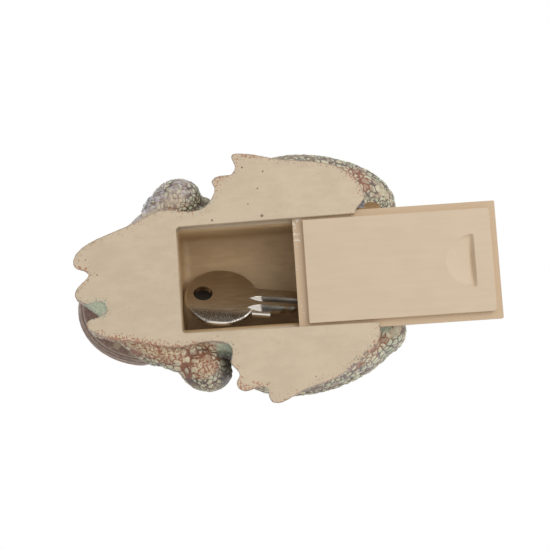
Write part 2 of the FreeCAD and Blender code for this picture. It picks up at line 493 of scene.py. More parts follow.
@dataclass
class Desk:
    """Adds nodes to one tree and wires them; it serves shader and geometry trees alike."""

    tree: bpy.types.NodeTree

    @classmethod
    def on(cls, owner: bpy.types.Material | bpy.types.World) -> "Desk":
        """Clear the nodes of a material or a world and start on its tree.

        Args:
            owner: The material or world.

        Returns:
            The desk.
        """
        owner.use_nodes = True
        owner.node_tree.nodes.clear()
        return cls(owner.node_tree)

    def add(self, kind: str, inputs: dict[str | int, object] | None = None,
            **settings: object) -> bpy.types.Node:
        """Add a node.

        Args:
            kind: The node's type.
            inputs: Values or sockets for its inputs, by name or number.
            **settings: The node's own settings.

        Returns:
            The node.
        """
        node = self.tree.nodes.new(kind)
        for key, value in settings.items():
            setattr(node, key, value)
        for key, value in (inputs or {}).items():
            self.feed(node.inputs[key], value)
        return node

    def feed(self, socket: bpy.types.NodeSocket, value: object) -> None:
        """Wire a socket to another one, or set its value.

        Args:
            socket: The input.
            value: The other socket, or the value.
        """
        if isinstance(value, bpy.types.NodeSocket):
            self.tree.links.new(value, socket)
        else:
            socket.default_value = value

    def math(self, operation: str, *values: Value, clamp: bool = False
             ) -> bpy.types.NodeSocket:
        """Combine values.

        Args:
            operation: What is done with them, by the node's own name for it.
            *values: The node's inputs, in order.
            clamp: Whether the result is kept from 0 to 1.

        Returns:
            The new value.
        """
        node = self.add("ShaderNodeMath", dict(enumerate(values)), operation=operation,
                        use_clamp=clamp)
        return node.outputs[0]

    def times(self, a: Value, b: Value) -> bpy.types.NodeSocket:
        """Multiply two values."""
        return self.math("MULTIPLY", a, b)

    def vector(self, operation: str, *values: object) -> bpy.types.NodeSocket:
        """Combine vectors.

        Args:
            operation: What is done with them, by the node's own name for it.
            *values: The node's inputs, in order.

        Returns:
            The new vector, or a value where the operation measures something.
        """
        node = self.add("ShaderNodeVectorMath", dict(enumerate(values)), operation=operation)
        measures = operation in ("DISTANCE", "DOT_PRODUCT", "LENGTH")
        return node.outputs["Value" if measures else "Vector"]

    def part(self, vector: bpy.types.NodeSocket, axis: str) -> bpy.types.NodeSocket:
        """One part of a vector, X, Y or Z."""
        return self.add("ShaderNodeSeparateXYZ", {0: vector}).outputs[axis]

    def ramp(self, value: Value, low: float, high: float, start: float = 0.0,
             end: float = 1.0) -> bpy.types.NodeSocket:
        """Go smoothly from one value to another.

        Args:
            value: What decides.
            low: Where it starts.
            high: Where it ends; below low it runs the other way.
            start: The result up to low.
            end: The result from high on.

        Returns:
            The result.
        """
        node = self.add("ShaderNodeMapRange", {
            "Value": value, "From Min": low, "From Max": high, "To Min": start,
            "To Max": end}, interpolation_type="SMOOTHSTEP")
        return node.outputs[0]

    def stretch(self, vector: bpy.types.NodeSocket, by: object) -> bpy.types.NodeSocket:
        """Multiply a vector, part by part."""
        return self.vector("MULTIPLY", vector, by)

    def noise(self, vector: bpy.types.NodeSocket, size: float, detail: float = 2.0,
              roughness: float = 0.5) -> bpy.types.Node:
        """Soft noise.

        Args:
            vector: Where it is read.
            size: About how wide its patches are, in millimetres.
            detail: How many finer layers it has.
            roughness: How strong those are.

        Returns:
            The noise's node.
        """
        return self.add("ShaderNodeTexNoise", {
            "Vector": vector, "Scale": 1.0 / size, "Detail": detail,
            "Roughness": roughness})

    def cells(self, vector: bpy.types.NodeSocket, size: float, feature: str = "F1",
              randomness: float = 1.0) -> bpy.types.Node:
        """A pattern of cells.

        Args:
            vector: Where it is read.
            size: About how far apart the cells are, in millimetres.
            feature: What it measures, by the node's own name for it.
            randomness: How uneven the cells are.

        Returns:
            The pattern's node.
        """
        return self.add("ShaderNodeTexVoronoi", {
            "Vector": vector, "Scale": 1.0 / size, "Randomness": randomness}, feature=feature)

    def blend(self, share: Value, first: object, second: object) -> bpy.types.NodeSocket:
        """Go from one colour to another.

        Args:
            share: How much of the second there is.
            first: The first colour.
            second: The second colour.

        Returns:
            The mixed colour.
        """
        first_colour, second_colour, mixed = 6, 7, 2    # the node's sockets for colours
        node = self.add("ShaderNodeMix", {0: share, first_colour: first,
                                          second_colour: second},
                        data_type="RGBA", clamp_factor=True)
        return node.outputs[mixed]

    def value_of(self, name: str) -> bpy.types.NodeSocket:
        """A named value kept on the mesh's vertices."""
        return self.add("ShaderNodeAttribute", attribute_name=name).outputs["Fac"]


@dataclass(frozen=True)
class Pebbles:
    """The pebbled skin: one rule for its real relief and for its paint."""

    coarse: float = 2.5
    fine: float = 1.6
    wobble: float = 0.7
    drift_size: float = 2.6
    patch_size: float = 9.0
    unevenness: float = 0.9

    def lay(self, desk: Desk, place: bpy.types.NodeSocket
            ) -> tuple[bpy.types.NodeSocket, bpy.types.NodeSocket, bpy.types.NodeSocket]:
        """Lay the pebbles in a tree, large ones in some patches and small ones in others.

        Args:
            desk: Where the nodes go.
            place: The place on the skin, in millimetres.

        Returns:
            Their height from 0 to 1, their painted tops from 0 to 1, and a random colour
            for each pebble.
        """
        drift = desk.noise(place, self.drift_size, 1.0).outputs["Color"]
        centred = desk.vector("SUBTRACT", drift, (0.5, 0.5, 0.5))
        shifted = desk.vector("MULTIPLY_ADD", centred, (2 * self.wobble,) * 3, place)
        patch = desk.noise(place, self.patch_size, 1.0).outputs["Fac"]
        small = desk.ramp(patch, 0.5, 0.53)
        made = []
        for coarse, fine in zip(self.domes(desk, shifted, self.coarse),
                                self.domes(desk, shifted, self.fine)):
            made.append(desk.blend(small, coarse, fine))
        return made[0], made[1], made[2]

    def domes(self, desk: Desk, place: bpy.types.NodeSocket, size: float
              ) -> tuple[bpy.types.NodeSocket, bpy.types.NodeSocket, bpy.types.NodeSocket]:
        """Lay round-edged cells of one size.

        Args:
            desk: Where the nodes go.
            place: The place on the skin, in millimetres.
            size: How far apart they are, in millimetres.

        Returns:
            Their height, their painted tops, and a random colour for each.
        """
        near = desk.cells(place, size, "F1", self.unevenness)
        border = desk.cells(place, size, "DISTANCE_TO_EDGE", self.unevenness)
        border = border.outputs["Distance"]
        round_off = desk.ramp(near.outputs["Distance"], 0.78, 0.30)
        height = desk.times(desk.ramp(border, 0.02, 0.26), round_off)
        top = desk.times(desk.ramp(border, 0.06, 0.12),
                         desk.ramp(near.outputs["Distance"], 0.64, 0.56))
        return height, top, near.outputs["Color"]


class Effects:
    """Shader node groups that several finishes share, each built once."""

    def __init__(self) -> None:
        """Start with no group made."""
        self.made: dict[str, bpy.types.NodeTree] = {}

    def start(self, name: str, inputs: dict[str, tuple[str, object]],
              outputs: dict[str, str]) -> tuple[Desk, bpy.types.Node, bpy.types.Node]:
        """Open a new group.

        Args:
            name: The group's name.
            inputs: Socket type and default for each input.
            outputs: Socket type for each output.

        Returns:
            The desk for its nodes, its input node and its output node.
        """
        tree = bpy.data.node_groups.new(name, "ShaderNodeTree")
        for key, (kind, default) in inputs.items():
            socket = tree.interface.new_socket(key, in_out="INPUT", socket_type=kind)
            if default is not None:
                socket.default_value = default
        for key, kind in outputs.items():
            tree.interface.new_socket(key, in_out="OUTPUT", socket_type=kind)
        desk = Desk(tree)
        entry = desk.add("NodeGroupInput")
        way_out = desk.add("NodeGroupOutput")
        self.made[name] = tree
        return desk, entry, way_out

    def place(self) -> bpy.types.NodeTree:
        """Group: the place on the piece in millimetres."""
        if "place_in_mm" not in self.made:
            desk, _, out = self.start("place_in_mm", {}, {"Place": "NodeSocketVector"})
            where = desk.add("ShaderNodeTexCoord").outputs["Object"]
            desk.feed(out.inputs["Place"], desk.stretch(where, (1.0 / MM,) * 3))
        return self.made["place_in_mm"]

    def pits(self) -> bpy.types.NodeTree:
        """Group: sparse casting pits, as a mask of dark specks, painted shade in the pits, and a
        height.
        """
        if "casting_pits" not in self.made:
            desk, entry, out = self.start(
                "casting_pits",
                {"Place": ("NodeSocketVector", None), "Spacing": ("NodeSocketFloat", 3.0),
                 "Share": ("NodeSocketFloat", 0.25)},
                {"Mask": "NodeSocketFloat", "Height": "NodeSocketFloat"})
            scale = desk.math("DIVIDE", 1.0, entry.outputs["Spacing"])
            cells = desk.add("ShaderNodeTexVoronoi",
                             {"Vector": entry.outputs["Place"], "Scale": scale})
            away = desk.times(cells.outputs["Distance"], entry.outputs["Spacing"])
            luck = desk.add("ShaderNodeSeparateColor", {0: cells.outputs["Color"]})
            size = desk.times(luck.outputs["Green"], 0.32)
            hole = desk.math("SUBTRACT", size, away)
            soft = desk.ramp(hole, -0.05, 0.08)
            kept = desk.math("LESS_THAN", luck.outputs["Red"], entry.outputs["Share"])
            mask = desk.times(soft, kept)
            desk.feed(out.inputs["Mask"], mask)
            desk.feed(out.inputs["Height"], desk.times(mask, -1.0))
        return self.made["casting_pits"]

    def chips(self) -> bpy.types.NodeTree:
        """Group: ragged patches where paint laps over an edge, from a share of 0 to 1."""
        if "ragged_patches" not in self.made:
            desk, entry, out = self.start(
                "ragged_patches",
                {"Place": ("NodeSocketVector", None), "Share": ("NodeSocketFloat", 0.5),
                 "Size": ("NodeSocketFloat", 1.2)},
                {"Mask": "NodeSocketFloat"})
            scale = desk.math("DIVIDE", 1.0, entry.outputs["Size"])
            rough = desk.add("ShaderNodeTexNoise", {
                "Vector": entry.outputs["Place"], "Scale": scale, "Detail": 4.0,
                "Roughness": 0.65}).outputs["Fac"]
            spread = desk.ramp(rough, 0.28, 0.72)
            over = desk.math("ADD", spread, entry.outputs["Share"])
            desk.feed(out.inputs["Mask"], desk.ramp(over, 0.93, 1.07))
        return self.made["ragged_patches"]

    def grain(self) -> bpy.types.NodeTree:
        """Group: fine cast grain, as a height and a soft variation of tone."""
        if "cast_grain" not in self.made:
            desk, entry, out = self.start(
                "cast_grain",
                {"Place": ("NodeSocketVector", None), "Streak": ("NodeSocketVector", None)},
                {"Height": "NodeSocketFloat", "Tone": "NodeSocketFloat"})
            fine = desk.noise(entry.outputs["Place"], 0.55, 3.0, 0.6).outputs["Fac"]
            drawn = desk.stretch(entry.outputs["Place"], entry.outputs["Streak"])
            streaks = desk.noise(drawn, 2.2, 3.0, 0.6).outputs["Fac"]
            broad = desk.noise(entry.outputs["Place"], 14.0, 2.0).outputs["Fac"]
            desk.feed(out.inputs["Height"], desk.math("ADD", fine, streaks))
            desk.feed(out.inputs["Tone"], desk.times(
                desk.math("ADD", streaks, broad), 0.5))
        return self.made["cast_grain"]


effects = Effects()


@dataclass(frozen=True)
class Finish:
    """What every finish has: a name, and how its material starts."""

    name: str

    def begin(self, roughness: float, **constants: object
              ) -> tuple[bpy.types.Material, Desk, bpy.types.Node]:
        """Start a material with one Principled shader.

        Args:
            roughness: The shader's roughness where nothing varies it.
            **constants: More values set on the shader's own sockets.

        Returns:
            The material, the desk for its nodes, and the shader.
        """
        material = bpy.data.materials.new(self.name)
        desk = Desk.on(material)
        shader = desk.add("ShaderNodeBsdfPrincipled", {"Roughness": roughness})
        for key, value in constants.items():
            shader.inputs[key.replace("_", " ").title().replace("Ior", "IOR")
                          ].default_value = value
        desk.add("ShaderNodeOutputMaterial", {"Surface": shader.outputs[0]})
        return material, desk, shader

    def group(self, desk: Desk, tree: bpy.types.NodeTree,
              inputs: dict[str, object] | None = None) -> bpy.types.Node:
        """Place a shared effect in this finish.

        Args:
            desk: Where it goes.
            tree: The effect's group.
            inputs: Values or sockets for its inputs.

        Returns:
            The group's node.
        """
        node = desk.add("ShaderNodeGroup", node_tree=tree)
        for key, value in (inputs or {}).items():
            desk.feed(node.inputs[key], value)
        return node

    def where(self, desk: Desk) -> bpy.types.NodeSocket:
        """The place on the piece in millimetres."""
        return self.group(desk, effects.place()).outputs["Place"]

    def relief(self, desk: Desk, shader: bpy.types.Node, height: bpy.types.NodeSocket,
               depth: float) -> None:
        """Give the shader a bump of a depth in millimetres."""
        bump = desk.add("ShaderNodeBump", {"Height": height, "Strength": 1.0,
                                           "Distance": depth * MM})
        desk.feed(shader.inputs["Normal"], bump.outputs[0])


@dataclass(frozen=True)
class BareResin(Finish):
    """Cast resin with fine pits and faint streaks, in two close shades."""

    name: str = "bare_resin"
    light: Colour = (211, 192, 165)
    deep: Colour = (203, 184, 157)
    streak: Point = (0.9, 0.35, 1.0)
    pit_share: float = 0.22
    pit_spacing: float = 4.2
    pit_tone: float = 0.7
    rough: Span = (0.42, 0.58)
    bump: float = 0.12

    def material(self) -> bpy.types.Material:
        """Make the material.

        Returns:
            The material.
        """
        material, desk, shader = self.begin(0.5, specular_ior_level=0.4)
        place = self.where(desk)
        grain = self.group(desk, effects.grain(), {"Place": place, "Streak": self.streak})
        pits = self.group(desk, effects.pits(), {
            "Place": place, "Spacing": self.pit_spacing, "Share": self.pit_share})
        tone = desk.ramp(grain.outputs["Tone"], 0.36, 0.64)
        colour = desk.blend(tone, paint(*self.deep), paint(*self.light))
        # the pits are darkened: painted shade in them
        colour = desk.blend(desk.times(pits.outputs["Mask"], self.pit_tone), colour,
                            Paint.PIT.linear)
        colour = self.marks(desk, place, colour)
        desk.feed(shader.inputs["Base Color"], colour)
        desk.feed(shader.inputs["Roughness"], desk.ramp(
            grain.outputs["Tone"], 0.3, 0.7, *self.rough))
        height = desk.math("ADD", desk.times(grain.outputs["Height"], 0.12),
                           pits.outputs["Height"])
        self.relief(desk, shader, height, self.bump)
        return material

    def marks(self, desk: Desk, place: bpy.types.NodeSocket, colour: bpy.types.NodeSocket
              ) -> bpy.types.NodeSocket:
        """What else lies on the resin; nothing on plain resin."""
        return colour


@dataclass(frozen=True)
class BaseResin(BareResin):
    """The sanded base, with a thin painted outline and specks where the paints reach it."""

    name: str = "base_resin"
    holes: tuple[tuple[float, float, float], ...] = (
        (3.6, -46.8, 0.3), (9.0, -50.5, 0.25), (37.2, 4.8, 0.38), (20.1, 10.5, 0.55),
        (35.4, 11.8, 0.34), (29.6, 9.6, 0.3), (24.4, 6.0, 0.26), (-35.8, 25.1, 0.26),
        (19.7, -6.6, 0.42))
    specks: tuple[tuple[str, float, float, float, Paint], ...] = (
        ("teal", 1.3, 0.10, 0.72, Paint.SPECK_TEAL),
        ("rust", 0.75, 0.20, 0.52, Paint.SPECK_RUST),
        ("slate", 0.65, 0.16, 0.50, Paint.SPECK_SLATE))
    speck_tone: float = 0.8
    outline: Span = (0.96, 1.03)
    outline_tone: float = 0.55

    def marks(self, desk: Desk, place: bpy.types.NodeSocket, colour: bpy.types.NodeSocket
              ) -> bpy.types.NodeSocket:
        """A few larger holes, painted dark as shade in them, and specks of the skin's paints
        near the base's outline.

        Args:
            desk: Where the nodes go.
            place: The place on the piece, in millimetres.
            colour: The plain colour.

        Returns:
            The colour with its marks.
        """
        # the holes are only painted: a dark spot of painted shade, not cut into the mesh
        for x, y, radius in self.holes:
            away = desk.vector("DISTANCE", place, (x, y, 0.0))
            colour = desk.blend(desk.ramp(away, 1.3 * radius, 0.5 * radius, 0.0, 0.85),
                                colour, Paint.HOLE.linear)
        near = desk.value_of("rim")
        for paint_name, size, everywhere, stained, shade in self.specks:
            apart = (size * 37.0, 0.0, stained * 50.0)
            moved = desk.vector("ADD", place, apart)
            reach = desk.math("MULTIPLY_ADD", desk.value_of(paint_name), stained, everywhere)
            patch = self.group(desk, effects.chips(), {
                "Place": moved, "Share": desk.times(near, reach), "Size": size})
            mask = desk.times(patch.outputs["Mask"], self.speck_tone)
            colour = desk.blend(mask, colour, shade.linear)
        wander = desk.noise(place, 1.4, 3.0, 0.6).outputs["Fac"]
        line = desk.math("ADD", near, desk.times(wander, 0.16))
        return desk.blend(desk.ramp(line, *self.outline, 0.0, self.outline_tone), colour,
                          Paint.OUTLINE.linear)


@dataclass(frozen=True)
class PocketResin(BareResin):
    """The resin inside the pocket, unsanded, and coloured darker and warmer as painted shade in
    the deep pocket.
    """

    name: str = "pocket_resin"
    # darker, warmer shades of the resin: painted shade inside the pocket and the rear arch
    light: Colour = (190, 160, 121)
    deep: Colour = (173, 144, 106)
    streak: Point = (1.0, 0.25, 1.6)
    # where the painted shadow behind the key's bow lies, and how far it reaches
    rubbed: Point = (-2.4, -12.2, 23.6)
    rubbed_reach: float = 6.4

    def marks(self, desk: Desk, place: bpy.types.NodeSocket, colour: bpy.types.NodeSocket
              ) -> bpy.types.NodeSocket:
        """A painted shadow: a near-black patch on the roof behind the key's bow, seen through
        the bow's hole.
        """
        away = desk.vector("DISTANCE", place, self.rubbed)
        return desk.blend(desk.ramp(away, self.rubbed_reach, self.rubbed_reach * 0.7, 0.0, 0.9),
                          colour, Paint.RUBBED.linear)


@dataclass(frozen=True)
class CoverResin(BareResin):
    """The cover's resin, a little warmer, with faint marks along the slide."""

    name: str = "cover_resin"
    light: Colour = (213, 192, 164)
    deep: Colour = (208, 187, 159)
    streak: Point = (1.3, 0.14, 1.0)
    pit_share: float = 0.06
    # depths behind the panel where the painted shade sets in
    tongue_level: Span = (1.7, 2.25)
    # how many near-white patches, how large, and where along and across they lie
    chip_share: float = 0.29
    chip_size: float = 1.7
    chip_front: Span = (24.6, 21.5)
    chip_side: Span = (8.0, 11.0)

    def marks(self, desk: Desk, place: bpy.types.NodeSocket, colour: bpy.types.NodeSocket
              ) -> bpy.types.NodeSocket:
        """Painted shade, darker and warmer, on the recessed tongue and the scoop's deep floor,
        and a few near-white patches.

        Args:
            desk: Where the nodes go.
            place: The place on the piece, in millimetres.
            colour: The plain colour.

        Returns:
            The colour with its marks.
        """
        depth = desk.part(place, "Z")
        # painted shade: darker and warmer where the face lies deeper behind the panel
        warm = desk.blend(desk.ramp(depth, *self.tongue_level, 0.0, 0.8), colour,
                          Paint.TONGUE.linear)
        # a few near-white patches toward the front of the tongue step
        share = desk.times(
            desk.ramp(desk.part(place, "Y"), *self.chip_front, 0.0, self.chip_share),
            desk.ramp(desk.part(place, "X"), *self.chip_side, 0.3, 1.0))
        chips = self.group(desk, effects.chips(), {
            "Place": place, "Share": share, "Size": self.chip_size})
        worn = desk.times(chips.outputs["Mask"], desk.ramp(depth, 0.9, 1.8))
        return desk.blend(desk.times(worn, 0.7), warm, Paint.CHIP.linear)


@dataclass(frozen=True)
class PaintedSkin(Finish):
    """Painted pebbled skin: cream and pale green pebbles in a brown to grey net.

    Where each paint lies is kept on the mesh: pebbled, lip, inset, jaw, rust, slate, lilac,
    teal, dark (painted shadow behind the elbows), pale, hollow and crest.
    """

    name: str = "painted_skin"
    pebbles: Pebbles = Pebbles()
    # dark lines are painted shade in the lip's creases, pale lines painted highlight on its
    # rolls
    creases: tuple[tuple[float, float, Paint], ...] = (    # inset, half width and paint
        (1.05, 0.18, Paint.CREASE_EDGE), (1.4, 0.22, Paint.CREASE_DEEP),
        (2.55, 0.2, Paint.CREASE), (2.95, 0.18, Paint.CREASE_PALE), (3.6, 0.16, Paint.CREASE))
    crease_tone: float = 0.75
    bump: float = 0.2

    def material(self) -> bpy.types.Material:
        """Make the material.

        Returns:
            The material.
        """
        material, desk, shader = self.begin(0.5, specular_ior_level=0.45)
        place = self.where(desk)
        height, top, luck = self.pebbles.lay(desk, place)
        patch = desk.noise(place, 6.0, 3.0, 0.6).outputs["Fac"]
        fine = desk.noise(place, 0.9, 4.0, 0.65).outputs["Fac"]
        skin = self.pebbled(desk, top, luck, patch, fine)
        skin = self.bare(desk, place, skin, patch, fine)
        skin = self.washes(desk, place, skin, patch, fine)
        desk.feed(shader.inputs["Base Color"], skin)
        gloss = desk.ramp(desk.math("ADD", fine, desk.times(
            desk.value_of("teal"), -0.3)), 0.1, 0.7, 0.36, 0.58)
        desk.feed(shader.inputs["Roughness"], gloss)
        bumped = desk.times(height, desk.value_of("pebbled"))
        bumped = desk.math("ADD", bumped, desk.times(fine, 0.3))
        self.relief(desk, shader, bumped, self.bump)
        return material

    def share(self, desk: Desk, name: str, ragged: bpy.types.NodeSocket,
              strength: float = 1.0) -> bpy.types.NodeSocket:
        """How much of a kept patch lies here, with a ragged border.

        Args:
            desk: Where the nodes go.
            name: The patch's attribute.
            ragged: Noise that frays its border.
            strength: How much lies well inside it.

        Returns:
            The share, from 0 to the strength.
        """
        kept = desk.value_of(name)
        spread = desk.math("ADD", kept, desk.ramp(ragged, 0.3, 0.7, -0.3, 0.3))
        inside = desk.ramp(spread, 0.3, 0.62, 0.0, strength)
        return desk.times(inside, desk.ramp(kept, 0.0, 0.12))

    def pebbled(self, desk: Desk, top: bpy.types.NodeSocket, luck: bpy.types.NodeSocket,
                patch: bpy.types.NodeSocket, fine: bpy.types.NodeSocket
                ) -> bpy.types.NodeSocket:
        """Pebbles and the net between them.

        Args:
            desk: Where the nodes go.
            top: The pebbles' painted tops.
            luck: A random colour for each pebble.
            patch: Broad noise.
            fine: Fine noise.

        Returns:
            The colour.
        """
        shades = desk.add("ShaderNodeSeparateColor", {0: luck})
        rust = self.share(desk, "rust", patch)
        net = desk.blend(desk.ramp(patch, 0.42, 0.6), Paint.NET.linear,
                         Paint.NET_WARM.linear)
        net = desk.blend(rust, net, desk.blend(desk.ramp(fine, 0.35, 0.7),
                                               Paint.RUST.linear, Paint.RUST_DEEP.linear))
        green = desk.times(shades.outputs["Red"],
                           desk.ramp(rust, 0.0, 1.0, 1.0, 0.35))
        pebble = desk.blend(green, Paint.CREAM.linear, Paint.PALE_GREEN.linear)
        pebble = desk.blend(desk.ramp(fine, 0.5, 0.8, 0.0, 0.65), pebble,
                            Paint.PEBBLE_WORN.linear)
        dull = desk.times(desk.ramp(shades.outputs["Green"], 0.62, 0.7),
                          desk.ramp(patch, 0.42, 0.55))
        pebble = desk.blend(desk.times(dull, 0.6), pebble, net)
        merged = self.share(desk, "pale", patch, 0.75)
        net = desk.blend(merged, net, Paint.PALE.linear)
        worn = desk.ramp(fine, 0.3, 0.45)
        return desk.blend(desk.times(top, worn), net, pebble)

    def bare(self, desk: Desk, place: bpy.types.NodeSocket, skin: bpy.types.NodeSocket,
             patch: bpy.types.NodeSocket, fine: bpy.types.NodeSocket
             ) -> bpy.types.NodeSocket:
        """The smooth parts: feet, the mottled jaw and the streaked lips, with painted shade and
        highlight along the lips' creases.

        Args:
            desk: Where the nodes go.
            place: The place on the skin, in millimetres.
            skin: The colour of the pebbled skin.
            patch: Broad noise.
            fine: Fine noise.

        Returns:
            The colour, with the smooth parts laid over it.
        """
        feet = desk.blend(desk.ramp(fine, 0.4, 0.62), Paint.FOOT.linear,
                          Paint.FOOT_PINK.linear)
        feet = desk.blend(self.share(desk, "rust", patch), feet, desk.blend(
            desk.ramp(fine, 0.46, 0.52), Paint.FOOT_PALE.linear, Paint.FOOT_RUST.linear))
        smooth = desk.blend(desk.ramp(desk.part(place, "Z"), 12.0, 20.0), feet,
                            Paint.BARE_SKIN.linear)
        skin = desk.blend(desk.value_of("pebbled"), smooth, skin)
        mottled = desk.blend(desk.ramp(fine, 0.35, 0.65), Paint.JAW.linear,
                             Paint.JAW_DEEP.linear)
        mottled = desk.blend(desk.ramp(patch, 0.5, 0.62, 0.0, 0.8), mottled,
                             Paint.JAW_MOTTLE.linear)
        skin = desk.blend(desk.value_of("jaw"), skin, mottled)
        drawn = desk.noise(desk.stretch(place, (0.4, 0.4, 2.4)), 1.3, 4.0, 0.62)
        lips = desk.blend(desk.ramp(drawn.outputs["Fac"], 0.36, 0.62), Paint.LIP_DEEP.linear,
                          Paint.LIP.linear)
        lips = desk.blend(desk.ramp(patch, 0.55, 0.7, 0.0, 0.6), lips, Paint.LIP_GREEN.linear)
        inset = desk.math("ADD", desk.value_of("inset"), desk.times(fine, 0.35))
        # painted shade in the lip's creases and painted highlight on the rolls beside them
        for at, width, shade in self.creases:
            crease = desk.math("LESS_THAN", desk.math("ABSOLUTE", desk.math(
                "SUBTRACT", inset, at)), width)
            lips = desk.blend(desk.times(crease, self.crease_tone), lips, shade.linear)
        return desk.blend(desk.value_of("lip"), skin, lips)

    def washes(self, desk: Desk, place: bpy.types.NodeSocket, skin: bpy.types.NodeSocket,
               patch: bpy.types.NodeSocket, fine: bpy.types.NodeSocket
               ) -> bpy.types.NodeSocket:
        """Slate bands, teal webs, a dark wash in the hollows, painted shadow behind the elbows
        and pale dry brushing on the crests.

        Args:
            desk: Where the nodes go.
            place: The place on the skin, in millimetres.
            skin: The colour so far.
            patch: Broad noise.
            fine: Fine noise.

        Returns:
            The finished colour.
        """
        brushed = desk.noise(desk.stretch(place, (1.0, 0.3, 1.0)), 0.8, 3.0, 0.6)
        slate = desk.blend(desk.ramp(brushed.outputs["Fac"], 0.35, 0.65),
                           Paint.SLATE_DEEP.linear, Paint.SLATE.linear)
        skin = desk.blend(self.share(desk, "slate", patch, 0.9), skin, slate)
        lilac = desk.times(self.share(desk, "lilac", patch, 0.8),
                           desk.ramp(brushed.outputs["Fac"], 0.42, 0.6))
        skin = desk.blend(lilac, skin, Paint.LILAC.linear)
        teal = desk.blend(desk.ramp(fine, 0.35, 0.7), Paint.TEAL.linear,
                          Paint.TEAL_DEEP.linear)
        laid = desk.times(self.share(desk, "teal", patch, 0.92),
                          desk.ramp(desk.value_of("teal"), 0.1, 0.9, 0.35, 1.0))
        skin = desk.blend(laid, skin, teal)
        skin = desk.blend(desk.times(desk.value_of("hollow"), 0.62), skin,
                          Paint.HOLLOW.linear)
        # dark: painted shadow behind the elbows, where shade falls
        dark = desk.times(desk.value_of("dark"), desk.ramp(fine, 0.2, 0.6, 0.45, 0.8))
        skin = desk.blend(dark, skin, Paint.SHADE.linear)
        crest = desk.times(desk.ramp(desk.value_of("crest"), 0.3, 0.9),
                           desk.ramp(brushed.outputs["Fac"], 0.38, 0.6))
        crest = desk.times(crest, desk.ramp(desk.value_of("teal"), 0.0, 0.4, 0.55, 0.1))
        return desk.blend(crest, skin, Paint.CREST.linear)


@dataclass(frozen=True)
class GlossyEye(Finish):
    """A glossy painted eye: a dark level pupil in a bronze iris."""

    name: str = "glossy_eye"
    pupil: Point = (0.37, 0.62, 0.0)    # one over its half sizes in millimetres
    iris: Span = (3.6, 4.6)             # where its dark rim starts and ends

    def material(self) -> bpy.types.Material:
        """Make the material.

        Returns:
            The material.
        """
        material, desk, shader = self.begin(0.12, coat_weight=0.6, coat_roughness=0.05)
        own = desk.add("ShaderNodeAttribute", attribute_name="gaze").outputs["Vector"]
        flat = desk.stretch(own, (1.0, 1.0, 0.0))
        away = desk.vector("LENGTH", flat)
        oval = desk.vector("LENGTH", desk.stretch(flat, self.pupil))
        turn = desk.math("ARCTAN2", desk.part(own, "Y"), desk.part(own, "X"))
        spokes = desk.add("ShaderNodeCombineXYZ", {
            "X": desk.times(turn, 2.2), "Y": desk.times(away, 0.35)})
        flecks = desk.noise(spokes.outputs[0], 1.0, 1.5, 0.5).outputs["Fac"]
        iris = desk.blend(desk.ramp(flecks, 0.35, 0.7), Paint.IRIS_DEEP.linear,
                          Paint.IRIS.linear)
        rim = desk.ramp(away, *self.iris)
        colour = desk.blend(rim, iris, Paint.IRIS_RIM.linear)
        colour = desk.blend(desk.ramp(oval, 1.05, 0.95), colour, Paint.PUPIL.linear)
        desk.feed(shader.inputs["Base Color"], colour)
        return material


@dataclass(frozen=True)
class NickelPlate(Finish):
    """Nickel plate, worn to a fine satin with small scratches."""

    name: str = "nickel_plate"
    light: Colour = (226, 221, 212)
    deep: Colour = (208, 201, 190)
    rough: Span = (0.12, 0.22)
    scuff_along: Point = (0.780, 0.110, 0.616)
    scuff_from: float = -1.4
    scuff_to: float = -5.0
    scuff_end: float = -8.0
    scuff_rear: Span = (5.2, 4.0)
    bump: float = 0.018

    def material(self) -> bpy.types.Material:
        """Make the material.

        Returns:
            The material.
        """
        material, desk, shader = self.begin(0.2, metallic=1.0)
        place = self.where(desk)
        grain = self.group(desk, effects.grain(), {"Place": place,
                                                   "Streak": (3.0, 0.4, 1.5)})
        colour = desk.blend(desk.ramp(grain.outputs["Tone"], 0.35, 0.65),
                            paint(*self.deep), paint(*self.light))
        speckle = desk.noise(place, 0.32, 2.0, 0.6).outputs["Fac"]
        along = desk.vector("DOT_PRODUCT", place, self.scuff_along)
        scuffed = desk.times(desk.ramp(along, self.scuff_from, self.scuff_to),
                             desk.ramp(along, self.scuff_end - 0.5, self.scuff_end))
        scuffed = desk.times(scuffed, desk.ramp(desk.part(place, "Y"), *self.scuff_rear))
        specks = desk.times(scuffed, desk.ramp(speckle, 0.68, 0.5))
        desk.feed(shader.inputs["Base Color"], desk.blend(
            desk.times(specks, 0.9), colour, Paint.SCUFF.linear))
        desk.feed(shader.inputs["Roughness"], desk.ramp(
            grain.outputs["Height"], 0.7, 1.3, *self.rough))
        self.relief(desk, shader, desk.math("ADD", grain.outputs["Height"], speckle), self.bump)
        return material


@dataclass(frozen=True)
class MilledNickel(NickelPlate):
    """The duller floor of the milled grooves."""

    name: str = "milled_nickel"
    light: Colour = (150, 148, 142)
    deep: Colour = (112, 110, 106)
    rough: Span = (0.3, 0.42)


# The frog


@dataclass(frozen=True)
class Mass:
    """One rounded mass of the frog, pitched about X and then yawed about Z."""

    at: Point
    half: Point
    pitch: float = 0.0
    yaw: float = 0.0
    both: bool = False

    def model(self) -> list[bpy.types.Object]:
        """Add the mass, and its mirror image where it has one.

        Returns:
            One or two spheres.
        """
        made = [ball(self.at, self.half, self.pitch, self.yaw)]
        if self.both:
            x, y, z = self.at
            made.append(ball((-x, y, z), self.half, self.pitch, -self.yaw))
        return made


